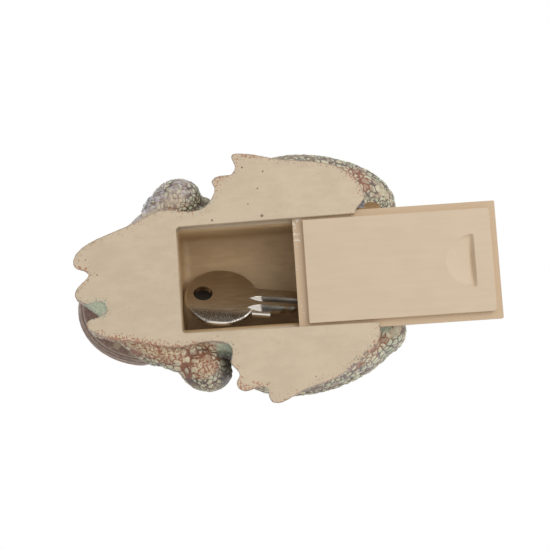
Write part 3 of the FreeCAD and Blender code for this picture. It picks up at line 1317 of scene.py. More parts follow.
@dataclass(frozen=True)
class Digit:
    """A finger or toe as a row of beads, each point given with its radius."""

    line: tuple[tuple[float, float, float, float], ...]
    spacing: float = 0.45

    def model(self) -> list[bpy.types.Object]:
        """Add the beads along the digit.

        Returns:
            The beads.
        """
        made = []
        for start, end in zip(self.line, self.line[1:]):
            run = math.dist(start[:3], end[:3])
            count = max(2, math.ceil(run / (self.spacing * min(start[3], end[3]))))
            for index in range(count + 1):
                share = index / count
                x, y, z, radius = (a + (b - a) * share for a, b in zip(start, end))
                made.append(ball((x, y, z), (radius,) * 3, rings=10))
        return made


@dataclass(frozen=True)
class Fold:
    """A crease or ridge sculpted along a line; a negative height is a crease."""

    line: tuple[Point, ...]
    height: float
    width: float
    both: bool = False

    def lift(self, points: np.ndarray) -> np.ndarray:
        """How far each point is lifted along its normal.

        Args:
            points: The vertices as rows.

        Returns:
            Its lift for each, in millimetres.
        """
        total = np.zeros(len(points))
        signs = (1.0, -1.0) if self.both else (1.0,)
        for sign in signs:
            away, along = distance_to_line(points * (sign, 1.0, 1.0), list(self.line))
            ends = smooth_step(along, 0.0, 0.18) * (1.0 - smooth_step(along, 0.82, 1.0))
            total += self.height * ends * np.exp(-(away / self.width) ** 2)
        return total


@dataclass(frozen=True)
class Stamp:
    """A round mark pressed into or raised from the skin nearest to a place.

    With a radius it is a ring, without one a wart or a dimple.
    """

    at: Point
    radius: float
    width: float
    height: float

    def lift(self, points: np.ndarray, place: Matrix) -> np.ndarray:
        """How far each point is lifted, the mark's place given in another frame.

        Args:
            points: The vertices as rows.
            place: From the mark's frame to theirs.

        Returns:
            Its lift for each, in millimetres.
        """
        guess = np.array(place @ Vector(self.at))
        centre = points[np.argmin(((points - guess) ** 2).sum(axis=1))]
        away = np.sqrt(((points - centre) ** 2).sum(axis=1))
        return self.height * np.exp(-((away - self.radius) / self.width) ** 2)


@dataclass(frozen=True)
class Stain:
    """A soft patch of paint round a place: full inside, gone at its reach."""

    at: Point
    reach: Point
    turn: float = 0.0
    amount: float = 1.0

    def share(self, points: np.ndarray) -> np.ndarray:
        """How much of the patch lies on each point.

        Args:
            points: The vertices as rows.

        Returns:
            The share for each, from 0 to the amount.
        """
        turn = math.radians(self.turn)
        off = points - self.at
        x = off[:, 0] * math.cos(turn) + off[:, 1] * math.sin(turn)
        y = off[:, 1] * math.cos(turn) - off[:, 0] * math.sin(turn)
        away = np.sqrt((x / self.reach[0]) ** 2 + (y / self.reach[1]) ** 2
                       + (off[:, 2] / self.reach[2]) ** 2)
        return self.amount * (1.0 - smooth_step(away, 0.55, 1.0))


@dataclass(frozen=True)
class Pocket:
    """The key pocket's walls, which the casting and the key share."""

    half: float = 16.8
    front: float = -19.1
    rear: float = 42.0
    roof: float = 23.6
    roof_round: float = 3.2
    corner: float = 1.0


@dataclass(frozen=True)
class HeadPlace:
    """Where the head sits and how far it is turned about Z."""

    at: Point = (-4.8, -31.0, 0.0)
    turn: float = -5.0

    def matrix(self) -> Matrix:
        """From the head's own straight frame to the frog's."""
        return Matrix.Translation(self.at) @ Matrix.Rotation(math.radians(self.turn), 4, "Z")


@dataclass
class FrogCasting:
    """The cast frog: flat webbed base, rounded masses, pebbled skin, slot and key pocket."""

    cell: float = 0.62
    base_depth: float = 3.0
    web_height: float = 3.4
    core_half: float = 20.9
    core_length: Span = (-23.5, 43.4)
    core_top: float = 7.0
    toe_web_height: Span = (0.45, 3.2)
    head_place: HeadPlace = HeadPlace()
    ground_size: Point = (108.0, 144.0, 1.0)
    ground_room: float = 80.0
    pocket: Pocket = Pocket()
    slot_front: float = Pocket.front
    past_rear: float = 90.0
    slot_half: float = 18.2
    slot_flare: float = 0.6
    flare_length: float = 63.0
    slot_corner: float = 1.2
    slot_mouth: Steps = ((0.25, 0.05), (0.15, 0.12), (0.1, 0.22), (3.0, 0.22))
    groove_half: float = 20.8
    groove_front: float = -22.6
    groove_top: float = 5.0
    lip: float = 2.0
    foot_height: float = 1.6
    pocket_foot: Steps = ((0.5, 0.1), (0.45, 0.3), (0.35, 0.55), (0.3, 0.9), (0.8, 0.9))
    pebble_height: float = 0.5
    bend_rounds: int = 14
    rim_reach: float = 3.0
    rim_swell: float = 0.28
    rim_top: Span = (3.0, 6.0)
    outermost: Span = (41.0, 43.0)
    eye_at: Point = (14.9, -1.4, 47.2)
    eye_radius: float = 6.0
    gaze: Point = (0.80, -0.50, 0.34)
    lids: tuple[tuple[float, float, float, float], ...] = (    # ahead, ring, radius, lift
        (1.5, 5.3, 1.35, 0.0), (0.2, 5.8, 1.2, 0.7))
    head: tuple[Mass, ...] = (
        Mass((0.0, 0.0, 27.0), (21.4, 26.8, 8.0), -6.0),
        Mass((0.0, 0.5, 36.0), (20.8, 26.0, 11.5), -10.0),
        Mass((0.0, -12.0, 36.5), (13.5, 13.0, 9.0), -16.0),
        Mass((12.3, 3.5, 45.6), (8.3, 10.5, 8.6), -10.0, both=True),
        Mass((1.0, 17.0, 36.0), (22.0, 24.0, 17.0), -22.0),
        Mass(eye_at, (5.5, 5.5, 5.5), both=True))
    mouth_half: Pair = (22.3, 28.8)
    lips: tuple[tuple[float, Pair, float], ...] = (    # height, half sizes and radius
        (32.2, mouth_half, 1.9), (28.3, (21.2, 27.3), 1.7))
    mouth_radius: float = 25.0
    mouth_corner: Span = (-9.0, 4.0)
    lip_drawn_in: float = 0.18
    mouth_ahead: float = 1.0
    mouth_tilt: float = -6.0
    masses: tuple[Mass, ...] = (
        Mass((0.0, 10.0, 28.0), (30.0, 45.0, 25.0), -14.0),
        Mass((0.0, 6.0, 10.0), (28.0, 44.0, 16.2)),
        Mass((-1.5, -20.0, 9.5), (26.2, 20.2, 11.7)),
        Mass((22.0, -3.0, 17.0), (5.6, 8.8, 8.8), both=True),
        Mass((0.0, 38.0, 18.0), (26.0, 19.0, 16.0)),
        Mass((27.5, 29.0, 19.0), (15.4, 29.2, 19.5), 5.0, 10.0),
        Mass((-25.3, 27.5, 19.0), (14.9, 29.3, 19.5), 5.0, -13.5),
        Mass((-20.5, 49.3, 18.0), (8.8, 8.8, 12.0)),
        Mass((29.5, 12.0, 21.0), (9.0, 12.0, 12.0), 20.0, 6.0, both=True),
        Mass((30.0, 24.0, 6.0), (8.5, 20.0, 7.0), 0.0, 12.0, both=True),
        Mass((22.0, -14.0, 26.0), (10.0, 13.0, 13.0), 20.0, 0.0, both=True),
        Mass((9.6, -43.5, 3.4), (5.8, 8.5, 4.3), 0.0, -22.0),
        Mass((19.6, -29.4, 7.2), (5.0, 15.5, 6.2), 10.0, -39.0),
        Mass((26.6, -24.4, 10.6), (5.6, 8.0, 7.4), 0.0, -40.0),
        Mass((28.2, -19.6, 11.3), (7.9, 9.7, 8.8), 0.0, -30.0),
        Mass((26.2, -16.8, 19.0), (8.0, 8.2, 13.0), -6.0),
        Mass((-14.2, -40.5, 3.4), (4.8, 6.5, 4.3), 0.0, 18.0),
        Mass((-21.0, -28.7, 7.4), (5.9, 20.0, 6.6), 9.0, 32.0),
        Mass((-30.1, -12.6, 11.3), (7.7, 9.5, 8.8), 0.0, 25.0),
        Mass((-27.0, -13.0, 19.0), (8.2, 8.4, 13.0), -6.0),
    )
    digits: tuple[Digit, ...] = (
        Digit(((10.0, -43.0, 4.6, 3.6), (9.2, -49.0, 3.2, 2.5), (8.7, -51.8, 2.2, 2.5))),
        Digit(((12.5, -42.0, 4.4, 3.2), (13.8, -46.0, 3.2, 2.2), (12.6, -48.9, 2.0, 2.1))),
        Digit(((-8.0, -43.0, 4.6, 3.6), (-4.6, -48.6, 3.2, 2.5), (-3.1, -52.0, 2.2, 2.6))),
        Digit(((-13.5, -42.0, 4.6, 3.4), (-13.9, -46.5, 3.2, 2.3), (-13.4, -48.7, 2.2, 2.3))),
        Digit(((32.0, 18.0, 5.0, 4.2), (37.2, 9.0, 3.4, 2.9), (39.7, 5.0, 2.4, 2.6))),
        Digit(((31.0, 12.0, 5.0, 4.2), (32.6, 3.0, 3.4, 2.7), (32.6, -2.6, 2.3, 2.5))),
        Digit(((28.0, 8.0, 5.0, 4.0), (27.6, 1.0, 3.4, 2.6), (28.0, -3.0, 2.3, 2.2))),
        Digit(((-32.0, 22.0, 5.0, 4.2), (-38.0, 14.5, 3.4, 2.9), (-41.0, 11.6, 2.4, 2.4))),
        Digit(((-30.0, 15.0, 5.0, 4.2), (-34.4, 6.0, 3.4, 2.7), (-36.4, 1.6, 2.3, 2.3))),
        Digit(((-27.0, 10.0, 5.0, 4.0), (-27.8, 3.4, 3.4, 2.6), (-29.0, -0.2, 2.2, 2.3))),
    )
    toe_web: Outline = (
        (-4.4, -53.0), (-5.4, -52.6), (-11.2, -45.6), (-11.0, -42.6), (-4.0, -42.6),
        (-4.0, -47.7))
    toe_gap: Outline = (
        (-5.2, -56.0), (-5.2, -50.3), (-4.9, -47.7), (-4.5, -44.4), (-6.5, -43.6),
        (-9.6, -43.2), (-11.2, -45.6), (-11.3, -47.8), (-11.6, -49.8), (-12.6, -51.1),
        (-13.6, -56.0))
    arch: Mass = Mass((20.4, 50.6, 5.0), (2.9, 6.6, 4.0))
    cut_corner: Outline = (
        (17.8, 42.0), (19.6, 42.4), (21.2, 43.6), (23.2, 45.4), (26.0, 52.0), (17.8, 52.0))
    stains: tuple[tuple[str, tuple[Stain, ...]], ...] = (
        ("rust", (
            Stain((-20.5, -31.0, 4.0), (7.0, 24.0, 9.0), 22.0),
            Stain((-27.5, -15.0, 5.0), (9.0, 10.0, 9.0)),
            Stain((-29.0, 46.0, 4.0), (10.0, 13.0, 7.0), -30.0, 0.8),
            Stain((33.0, 45.0, 4.0), (10.0, 11.0, 7.0), 30.0, 0.56),
            Stain((24.5, -17.0, 3.0), (4.0, 6.0, 4.0), 0.0, 0.5),
            Stain((0.0, 58.0, 9.0), (16.0, 6.0, 8.0), 0.0, 0.5),
            Stain((34.0, -3.0, 1.5), (5.0, 4.0, 4.0), 0.0, 0.7),
            Stain((39.5, 6.5, 0.5), (3.5, 5.0, 3.0), 0.0, 0.8),
            Stain((-37.0, 2.0, 1.5), (4.0, 6.0, 4.0), 0.0, 0.8),
            Stain((5.0, -51.0, 1.5), (5.0, 4.0, 4.0), 0.0, 0.6))),
        ("slate", (
            Stain((-38.6, 27.0, 4.5), (2.6, 11.0, 4.0), 14.0),
            Stain((21.5, 45.5, 2.5), (3.6, 4.5, 2.5)),
            Stain((42.0, 24.0, 3.0), (4.5, 17.0, 5.0)),
            Stain((27.5, -29.5, 9.0), (3.0, 9.0, 9.0), -38.0, 0.36),
            Stain((-31.0, 42.0, 0.0), (8.0, 10.0, 3.0), 30.0, 0.8),
            Stain((17.0, -39.0, 3.0), (2.4, 12.0, 3.0), -38.0, 0.4))),
        ("lilac", (
            Stain((28.0, -27.5, 8.0), (5.0, 11.0, 10.0), -38.0),
            Stain((31.0, -19.0, 9.0), (10.0, 11.0, 10.0), 0.0, 0.5),
            Stain((16.5, -38.5, 3.0), (4.0, 14.0, 5.0), -38.0, 0.9),
            Stain((42.5, 17.0, 3.0), (3.0, 17.0, 4.5), 0.0, 0.9),
            Stain((-13.0, -47.0, 3.0), (4.0, 8.0, 5.0), 30.0, 0.6))),
        ("teal", (
            Stain((-7.4, -47.6, 1.5), (6.2, 6.0, 3.4)),
            Stain((-25.0, -4.2, 3.5), (5.4, 5.0, 5.0)),
            Stain((-20.0, 49.5, 5.0), (3.4, 4.5, 5.0), 0.0, 0.75),
            Stain((25.5, -7.0, 3.5), (4.5, 4.5, 5.5), 0.0, 0.7),
            Stain((25.5, 48.0, 4.0), (3.0, 2.6, 3.0), 0.0, 0.45),
            Stain((33.0, -8.0, 9.0), (4.5, 5.0, 10.0), 0.0, 0.7),
            Stain((8.0, -45.0, 0.5), (4.0, 3.0, 2.0), 0.0, 0.4))),
        # dark: painted shadow at the rear of the elbows
        ("dark", (
            Stain((-34.0, -3.5, 9.0), (10.0, 6.5, 11.0), -10.0, 0.9),
            Stain((-26.5, -5.0, 8.0), (7.5, 5.0, 6.0), 0.0, 0.8),
            Stain((29.0, -8.5, 11.0), (6.0, 3.0, 5.0), 0.0, 0.4))),
        ("pale", (
            Stain((-20.0, 53.0, 7.0), (6.0, 6.0, 7.0), 0.0, 0.5),
            Stain((28.0, 53.0, 9.0), (6.0, 6.0, 7.0), 0.0, 0.4))),
    )
    folds: tuple[Fold, ...] = (
        Fold(((-12.5, -51.0, 3.0), (-15.8, -48.0, 4.2), (-20.8, -42.0, 5.6),
              (-25.4, -34.5, 7.6), (-29.0, -27.0, 10.0)), 1.5, 1.9),
        Fold(((40.5, 6.0, 13.5), (43.5, 20.0, 15.0), (42.0, 34.0, 15.5), (36.0, 48.0, 13.0),
              (30.0, 55.0, 10.0)), -1.3, 1.5),
        Fold(((-40.5, 6.0, 13.5), (-41.5, 20.0, 15.0), (-39.5, 34.0, 15.5),
              (-34.0, 47.0, 13.0), (-28.0, 55.0, 10.0)), -1.3, 1.5),
    )

    head_stamps: tuple[Stamp, ...] = (
        Stamp((4.6, -24.0, 43.0), 0.0, 0.85, -1.1), Stamp((4.6, -24.0, 43.0), 1.5, 0.6, 0.4),
        Stamp((-4.6, -24.0, 43.0), 0.0, 0.85, -1.1), Stamp((-4.6, -24.0, 43.0), 1.5, 0.6, 0.4),
        Stamp((22.0, 9.5, 38.0), 3.1, 0.8, 0.9), Stamp((22.0, 9.5, 38.0), 0.0, 2.0, -0.5),
        Stamp((-22.0, 9.5, 38.0), 3.1, 0.8, 0.9), Stamp((-22.0, 9.5, 38.0), 0.0, 2.0, -0.5))
    back_from: Span = (26.0, 31.0)
    back_ridge: Outline = ((13.0, -14.0), (15.5, 8.0), (14.5, 28.0), (9.5, 46.0))
    ridge_height: float = 1.1
    ridge_width: float = 1.5
    back_warts: int = 26
    wart_seed: int = 11

    def head_masses(self) -> list[bpy.types.Object]:
        """Jaws, brows, snout, lids and the neck, in the head's own frame, then put in place.

        Returns:
            The masses.
        """
        made = []
        for mass in self.head:
            made += mass.model()
        for z, reach, thick in self.lips:
            made.append(self.lip_roll(z, reach, thick))
        for side in Side:
            for ahead, ring, thick, lift in self.lids:
                made.append(self.eyelid(side, ahead, ring, thick, lift))
        for obj in made:
            obj.data.transform(self.head_place.matrix())
        return made

    def lip_roll(self, z: float, reach: Pair, thick: float) -> bpy.types.Object:
        """A lip as a long roll round the jaw, drawn in behind the corners of the mouth.

        Args:
            z: Its height at the middle of the head.
            reach: Its outer half sizes along X and Y.
            thick: Its own radius.

        Returns:
            The lip.
        """
        clear_selection()
        slim = 0.1    # the ring's own radius before it is shaped, its large one being 1
        bpy.ops.mesh.primitive_torus_add(
            major_segments=96, minor_segments=16, major_radius=1.0, minor_radius=slim)
        obj = set_down("lip")
        rows = points_of(obj)
        away = np.hypot(rows[:, 0], rows[:, 1])
        out = rows[:, :2] / away[:, None]
        rise = (away - 1.0) / slim * thick
        x = out[:, 0] * (reach[0] - thick + rise)
        y = out[:, 1] * (reach[1] - thick + rise)
        height = rows[:, 2] / slim * thick
        x *= 1.0 - self.lip_drawn_in * smooth_step(y, *self.mouth_corner)
        tilt = math.radians(self.mouth_tilt)
        turned = np.stack([x, y * math.cos(tilt) - height * math.sin(tilt) + self.mouth_ahead,
                           y * math.sin(tilt) + height * math.cos(tilt) + z], axis=1)
        move_points(obj, turned)
        return obj

    def eye_centre(self, side: Side, lift: float = 0.0) -> Vector:
        """Where an eye's middle lies in the head's frame, or a place that far above it."""
        return Vector((self.eye_at[0] * side.value, self.eye_at[1], self.eye_at[2] + lift))

    def eye_axis(self, side: Side) -> Vector:
        """Where an eye looks, in the head's frame."""
        x, y, z = self.gaze
        return Vector((x * side.value, y, z)).normalized()

    def eyelid(self, side: Side, ahead: float, ring: float, thick: float, lift: float
               ) -> bpy.types.Object:
        """A rolled eyelid round the eyeball.

        Args:
            side: Which eye.
            ahead: How far it sits out along the gaze.
            ring: The radius of its ring.
            thick: Its own radius.
            lift: How far it sits above the eye.

        Returns:
            The lid.
        """
        axis = self.eye_axis(side)
        at = self.eye_centre(side, lift) + axis * ahead
        clear_selection()
        bpy.ops.mesh.primitive_torus_add(
            major_segments=48, minor_segments=12, major_radius=ring, minor_radius=thick,
            location=at, rotation=axis.to_track_quat("Z", "Y").to_euler())
        return set_down("lid")

    def base_plate(self) -> bpy.types.Object:
        """The webbed base, drawn from the frame's own outline and made thicker below.

        Returns:
            The plate.
        """
        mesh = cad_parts["frog_body"].data.copy()
        mesh.transform(Matrix.Scale(1.0 / MM, 4))
        mesh.materials.clear()
        obj = bpy.data.objects.new("base_plate", mesh)
        bpy.context.scene.collection.objects.link(obj)
        take(obj)
        bpy.ops.object.mode_set(mode="EDIT")
        bpy.ops.mesh.select_all(action="SELECT")
        bpy.ops.mesh.remove_doubles(threshold=0.002)
        bpy.ops.object.mode_set(mode="OBJECT")
        edit_faces(obj, lambda face: not (face.normal.z < -0.99 and abs(face.center.z) < 0.02))
        bpy.ops.mesh.delete(type="FACE")
        bpy.ops.mesh.select_all(action="SELECT")
        bpy.ops.mesh.extrude_region_move(
            TRANSFORM_OT_translate={"value": (0.0, 0.0, self.base_depth + self.web_height)})
        bpy.ops.mesh.select_all(action="SELECT")
        bpy.ops.transform.translate(value=(0.0, 0.0, -self.base_depth))
        bpy.ops.mesh.normals_make_consistent(inside=False)
        bpy.ops.object.mode_set(mode="OBJECT")
        gap = flat_form(self.toe_gap, -self.base_depth - 1.0, self.web_height + 1.0,
                        "toe_gap")
        combine(obj, gap, Join.CUT)
        return obj

    def rough_form(self) -> bpy.types.Object:
        """All masses, limbs and the base in one closed skin of even cells.

        Returns:
            The skin, still smooth.
        """
        parts = [self.base_plate()]
        parts.append(block((-self.core_half, self.core_half), self.core_length,
                           (-self.base_depth, self.core_top)))
        for item in self.masses + self.digits:
            parts += item.model()
        parts.append(flat_form(self.toe_web, *self.toe_web_height, "toe_web"))
        parts += self.head_masses()
        body = joined(parts, "frog_casting")
        apply_modifier(body, "REMESH", mode="VOXEL", voxel_size=self.cell)
        apply_modifier(body, "SMOOTH", factor=0.5, iterations=4)
        return body

    def sculpt(self, body: bpy.types.Object) -> None:
        """Lift ridges and press creases along their lines.

        Args:
            body: The casting.
        """
        points = points_of(body)
        outermost = smooth_step(np.abs(points[:, 0]), *self.outermost)
        lift = self.rim_swell * (1.0 - 1.3 * outermost) * (
            1.0 - smooth_step(points[:, 2], *self.rim_top))
        for fold in self.folds:
            lift += fold.lift(points)
        for stamp in self.head_stamps:
            lift += stamp.lift(points, self.head_place.matrix())
        lift += self.back_lift(points)
        move_points(body, points + normals_of(body) * lift[:, None])

    def back_lift(self, points: np.ndarray) -> np.ndarray:
        """Two long ridges down the back and warts between and beside them.

        Args:
            points: The vertices as rows.

        Returns:
            The lift for each, in millimetres.
        """
        above = smooth_step(points[:, 2], *self.back_from)
        lift = np.zeros(len(points))
        flat = points * (1.0, 1.0, 0.0)
        for side in Side:
            line = [(side.value * x, y, 0.0) for x, y in self.back_ridge]
            away, along = distance_to_line(flat, line)
            ends = smooth_step(along, 0.0, 0.15) * (1.0 - smooth_step(along, 0.85, 1.0))
            lift += self.ridge_height * ends * np.exp(-(away / self.ridge_width) ** 2)
        luck = np.random.RandomState(self.wart_seed)
        for _ in range(self.back_warts):
            x, y = luck.uniform(-24.0, 24.0), luck.uniform(-12.0, 46.0)
            above_back = 45.0 - 0.02 * x * x
            wart = Stamp((x, y, above_back), 0.0, luck.uniform(1.0, 1.7),
                         luck.uniform(0.5, 0.9))
            lift += wart.lift(points, Matrix())
        return lift * above

    def trim_base(self, body: bpy.types.Object) -> None:
        """Trim the casting flat at the ground.

        Args:
            body: The casting.
        """
        clear_selection()
        bpy.ops.mesh.primitive_grid_add(x_subdivisions=90, y_subdivisions=120, size=1.0)
        bpy.ops.transform.resize(value=self.ground_size)
        ground = set_down("ground")
        thicken(ground, self.ground_room)
        combine(body, ground, Join.KEEP_INSIDE)

    def slot_cutter(self) -> bpy.types.Object:
        """The slot, its soft mouth, the cover's groove and the key pocket, as one form.

        Returns:
            The form to cut away.
        """
        rear = self.past_rear
        mouth = sum(drop for drop, _ in self.slot_mouth[:-1])
        slot = block((-self.slot_half, self.slot_half), (self.slot_front, rear),
                     (mouth, self.groove_top))
        points = points_of(slot)
        at_rear = points[:, 1] > 0.0
        flare = self.slot_flare * (rear - self.slot_front) / self.flare_length
        points[at_rear, 0] += np.sign(points[at_rear, 0]) * flare
        move_points(slot, points)
        round_edges(slot, lambda a, b: is_upright(a, b) and a.y < 0.0, self.slot_corner, 5)
        edit_faces(slot, lambda face: face.normal.z < -0.9)
        reach = rear - self.slot_front
        spread = 0.0
        for drop, out in self.slot_mouth:
            draw_out(-drop, (self.slot_half + spread, self.slot_half + out),
                     (reach + spread, reach + out), (0.0, rear, 0.0))
            spread = out
        bpy.ops.object.mode_set(mode="OBJECT")
        groove = block((-self.groove_half, self.groove_half), (self.groove_front, rear),
                       (self.lip, self.groove_top))
        combine(slot, groove, Join.UNION)
        combine(slot, self.pocket_form(), Join.UNION)
        return slot

    def pocket_form(self) -> bpy.types.Object:
        """The key pocket: tight corners, a roof drawn in along a large round, a flared foot.

        Returns:
            The pocket as a closed form.
        """
        shoulder = self.pocket.roof - self.pocket.roof_round
        foot = self.groove_top + self.foot_height
        pocket = block((-self.pocket.half, self.pocket.half),
                       (self.slot_front, self.pocket.rear), (foot, shoulder))
        round_edges(pocket, is_upright, self.pocket.corner, 4)
        edit_faces(pocket, lambda face: face.normal.z > 0.9)
        half_length = (self.pocket.rear - self.slot_front) / 2
        drawn_in, risen = 0.0, 0.0
        steps = 7
        for step in range(1, steps + 1):
            turn = math.radians(90.0 * step / steps)
            now_in = self.pocket.roof_round * (1.0 - math.cos(turn))
            now_up = self.pocket.roof_round * math.sin(turn)
            draw_out(now_up - risen, (self.pocket.half - drawn_in, self.pocket.half - now_in),
                     (half_length - drawn_in, half_length - now_in),
                     (0.0, self.slot_front + half_length, self.pocket.roof))
            drawn_in, risen = now_in, now_up
        bpy.ops.object.mode_set(mode="OBJECT")
        edit_faces(pocket, lambda face: face.normal.z < -0.9)
        spread = 0.0
        for drop, out in self.pocket_foot:
            draw_out(-drop, (self.pocket.half + spread, self.pocket.half + out),
                     (2 * half_length + spread, 2 * half_length + out),
                     (0.0, self.slot_front, 0.0))
            spread = out
        bpy.ops.object.mode_set(mode="OBJECT")
        return pocket

    def spread(self, body: bpy.types.Object, values: np.ndarray, rounds: int) -> np.ndarray:
        """Average values with those of the neighbours.

        Args:
            body: The object that they lie on.
            values: One value or one row for each vertex.
            rounds: How many times; rows take one round of each column at a time.

        Returns:
            The averaged values.
        """
        ends = np.empty(len(body.data.edges) * 2, int)
        body.data.edges.foreach_get("vertices", ends)
        a, b = ends.reshape(-1, 2).T
        count = np.bincount(a, minlength=len(values)) + np.bincount(b, minlength=len(values))
        count = np.maximum(count, 1).astype(float)
        for _ in range(rounds):
            if values.ndim == 1:
                total = (np.bincount(a, values[b], len(values))
                         + np.bincount(b, values[a], len(values)))
                values = 0.5 * values + 0.5 * total / count
            else:
                values = np.stack([self.spread(body, part, 1) for part in values.T], axis=1)
        return values

    def bend(self, body: bpy.types.Object) -> np.ndarray:
        """How hollow each place is; ridges are below zero.

        Args:
            body: The casting.

        Returns:
            One value for each vertex, in millimetres.
        """
        points = points_of(body)
        wide = self.spread(body, points, self.bend_rounds)
        return ((wide - points) * normals_of(body)).sum(axis=1)

    def smooth_parts(self, points: np.ndarray
                     ) -> tuple[np.ndarray, np.ndarray, np.ndarray]:
        """Where the skin is lip, jaw or pebbled.

        Args:
            points: The skin's vertices.

        Returns:
            The lip's share, the jaw's share and the pebbled share of each vertex.
        """
        own, ring = self.in_head(points)
        slope = math.tan(math.radians(self.mouth_tilt))
        level = own[:, 2] - (own[:, 1] - self.mouth_ahead) * slope
        ahead = smooth_step(own[:, 1], 8.0, 0.0)
        band = smooth_step(level, 22.4, 23.4) * (1.0 - smooth_step(level, 34.2, 35.4))
        lip = ahead * band * smooth_step(ring, 0.86, 0.88)
        jaw = (smooth_step(own[:, 1], 14.0, 8.0) * (1.0 - lip)
               * (1.0 - smooth_step(level, 26.0, 27.0)) * smooth_step(points[:, 2], 14.5, 17.0)
               * (1.0 - smooth_step(ring, 1.0, 1.06)))
        feet = 1.0 - smooth_step(points[:, 2], 2.2, 4.0)
        pebbled = (1.0 - lip) * (1.0 - 0.9 * jaw) * (1.0 - 0.6 * feet)
        for side in Side:
            off = own - np.array(self.eye_centre(side))
            ahead_of_lid = off @ np.array(self.eye_axis(side))
            pebbled *= 1.0 - smooth_step(ahead_of_lid, 1.0, 2.2) * (
                1.0 - smooth_step(np.linalg.norm(off, axis=1), 7.0, 8.0))
        return lip, jaw, pebbled

    def in_head(self, points: np.ndarray) -> tuple[np.ndarray, np.ndarray]:
        """Find points in the head's own frame.

        Args:
            points: The points as rows, in the frog's frame.

        Returns:
            The points in the head's frame, and how far out each lies, with 1 on the
            mouth's widest outline.
        """
        back = np.array(self.head_place.matrix().inverted())
        own = points @ back[:3, :3].T + back[:3, 3]
        half_x, half_y = self.mouth_half
        return own, np.hypot(own[:, 0] / half_x, (own[:, 1] - self.mouth_ahead) / half_y)

    def pebble_relief(self, body: bpy.types.Object) -> None:
        """Raise the pebbles in the mesh itself, by the same rule as the paint.

        Args:
            body: The casting.
        """
        tree = bpy.data.node_groups.new("pebble_relief", "GeometryNodeTree")
        tree.interface.new_socket("Skin", in_out="INPUT", socket_type="NodeSocketGeometry")
        tree.interface.new_socket("Skin", in_out="OUTPUT", socket_type="NodeSocketGeometry")
        desk = Desk(tree)
        entry = desk.add("NodeGroupInput")
        place = desk.add("GeometryNodeInputPosition").outputs[0]
        height = Pebbles().lay(desk, place)[0]
        share = desk.add("GeometryNodeInputNamedAttribute", {"Name": "raised"},
                         data_type="FLOAT").outputs[0]
        amount = desk.times(desk.times(height, share),
                            self.pebble_height)
        normal = desk.add("GeometryNodeInputNormal").outputs[0]
        offset = desk.add("ShaderNodeVectorMath", {0: normal}, operation="SCALE")
        desk.feed(offset.inputs["Scale"], amount)
        moved = desk.add("GeometryNodeSetPosition", {"Geometry": entry.outputs[0],
                                                     "Offset": offset.outputs[0]})
        desk.add("NodeGroupOutput", {0: moved.outputs[0]})
        apply_modifier(body, "NODES", node_group=tree)

    def paint_masks(self, body: bpy.types.Object) -> None:
        """Keep on the vertices where each paint goes, and dress every face.

        Args:
            body: The casting.
        """
        points = points_of(body)
        lip, jaw, pebbled = self.smooth_parts(points)
        hollow = self.spread(body, self.bend(body), 3)
        keep_values(body, "lip", lip)
        keep_values(body, "jaw", jaw)
        keep_values(body, "pebbled", pebbled)
        for name, stains in self.stains:
            shares = [stain.share(points) for stain in stains]
            keep_values(body, name, np.max(shares, axis=0))
        keep_values(body, "hollow", smooth_step(hollow, 0.02, 0.5))
        keep_values(body, "crest", smooth_step(-hollow, 0.02, 0.35))
        keep_values(body, "inset", self.mouth_radius * (1.0 - self.in_head(points)[1]))
        mesh = body.data
        mesh.materials.clear()
        for finish in (PaintedSkin(), BaseResin(), PocketResin()):
            mesh.materials.append(finish.material())
        count = len(mesh.polygons)
        centres = np.empty(count * 3)
        mesh.polygons.foreach_get("center", centres)
        x, y, z = centres.reshape(-1, 3).T
        facing = np.empty(count * 3)
        mesh.polygons.foreach_get("normal", facing)
        base = (z < 0.02) & (facing.reshape(-1, 3)[:, 2] < -0.9)
        near, slack, flared = 0.01, 0.3, 0.95    # how far past a cut's faces a face still counts
        flare = self.slot_flare * (y - self.slot_front) / self.flare_length
        slot = ((np.abs(x) < self.slot_half + flare + slack) & (y > self.slot_front - slack)
                & (z < self.groove_top + near))
        groove = ((np.abs(x) < self.groove_half + near) & (y > self.groove_front - near)
                  & (z > self.lip - near) & (z < self.groove_top + near))
        foot = near + flared * (z < self.groove_top + self.foot_height + 0.05)
        pocket = ((np.abs(x) < self.pocket.half + foot) & (y > self.slot_front - near)
                  & (y < self.pocket.rear + foot) & (z < self.pocket.roof + near))
        off = (centres.reshape(-1, 3) - self.arch.at) / self.arch.half
        arch = np.linalg.norm(off, axis=1) < 1.02
        bare = base | slot | groove | pocket | arch
        # the pocket's inside and the rear arch take the darker resin, painted shade in these
        # hollows
        inside = (pocket & (z > self.groove_top + 0.02)) | arch
        mesh.polygons.foreach_set("material_index", (bare + 1 * inside).astype(np.int32))
        self.rim_mask(body, points, base, bare)

    def rim_mask(self, body: bpy.types.Object, points: np.ndarray, base: np.ndarray,
                 bare: np.ndarray) -> None:
        """Keep how near each base vertex is to the painted outline.

        Args:
            body: The casting.
            points: Its vertices as rows.
            base: Which faces are the sanded base.
            bare: Which faces are bare resin.
        """
        skin_points = set()
        base_points = set()
        for face, is_base, is_bare in zip(body.data.polygons, base, bare):
            if is_base:
                base_points.update(face.vertices)
            elif not is_bare:
                skin_points.update(face.vertices)
        outline = sorted(base_points & skin_points)
        tree = KDTree(len(outline))
        for number, vertex in enumerate(outline):
            tree.insert(points[vertex], number)
        tree.balance()
        rim = np.zeros(len(points))
        for vertex in base_points:
            rim[vertex] = max(0.0, 1.0 - tree.find(points[vertex])[2] / self.rim_reach)
        keep_values(body, "rim", rim)

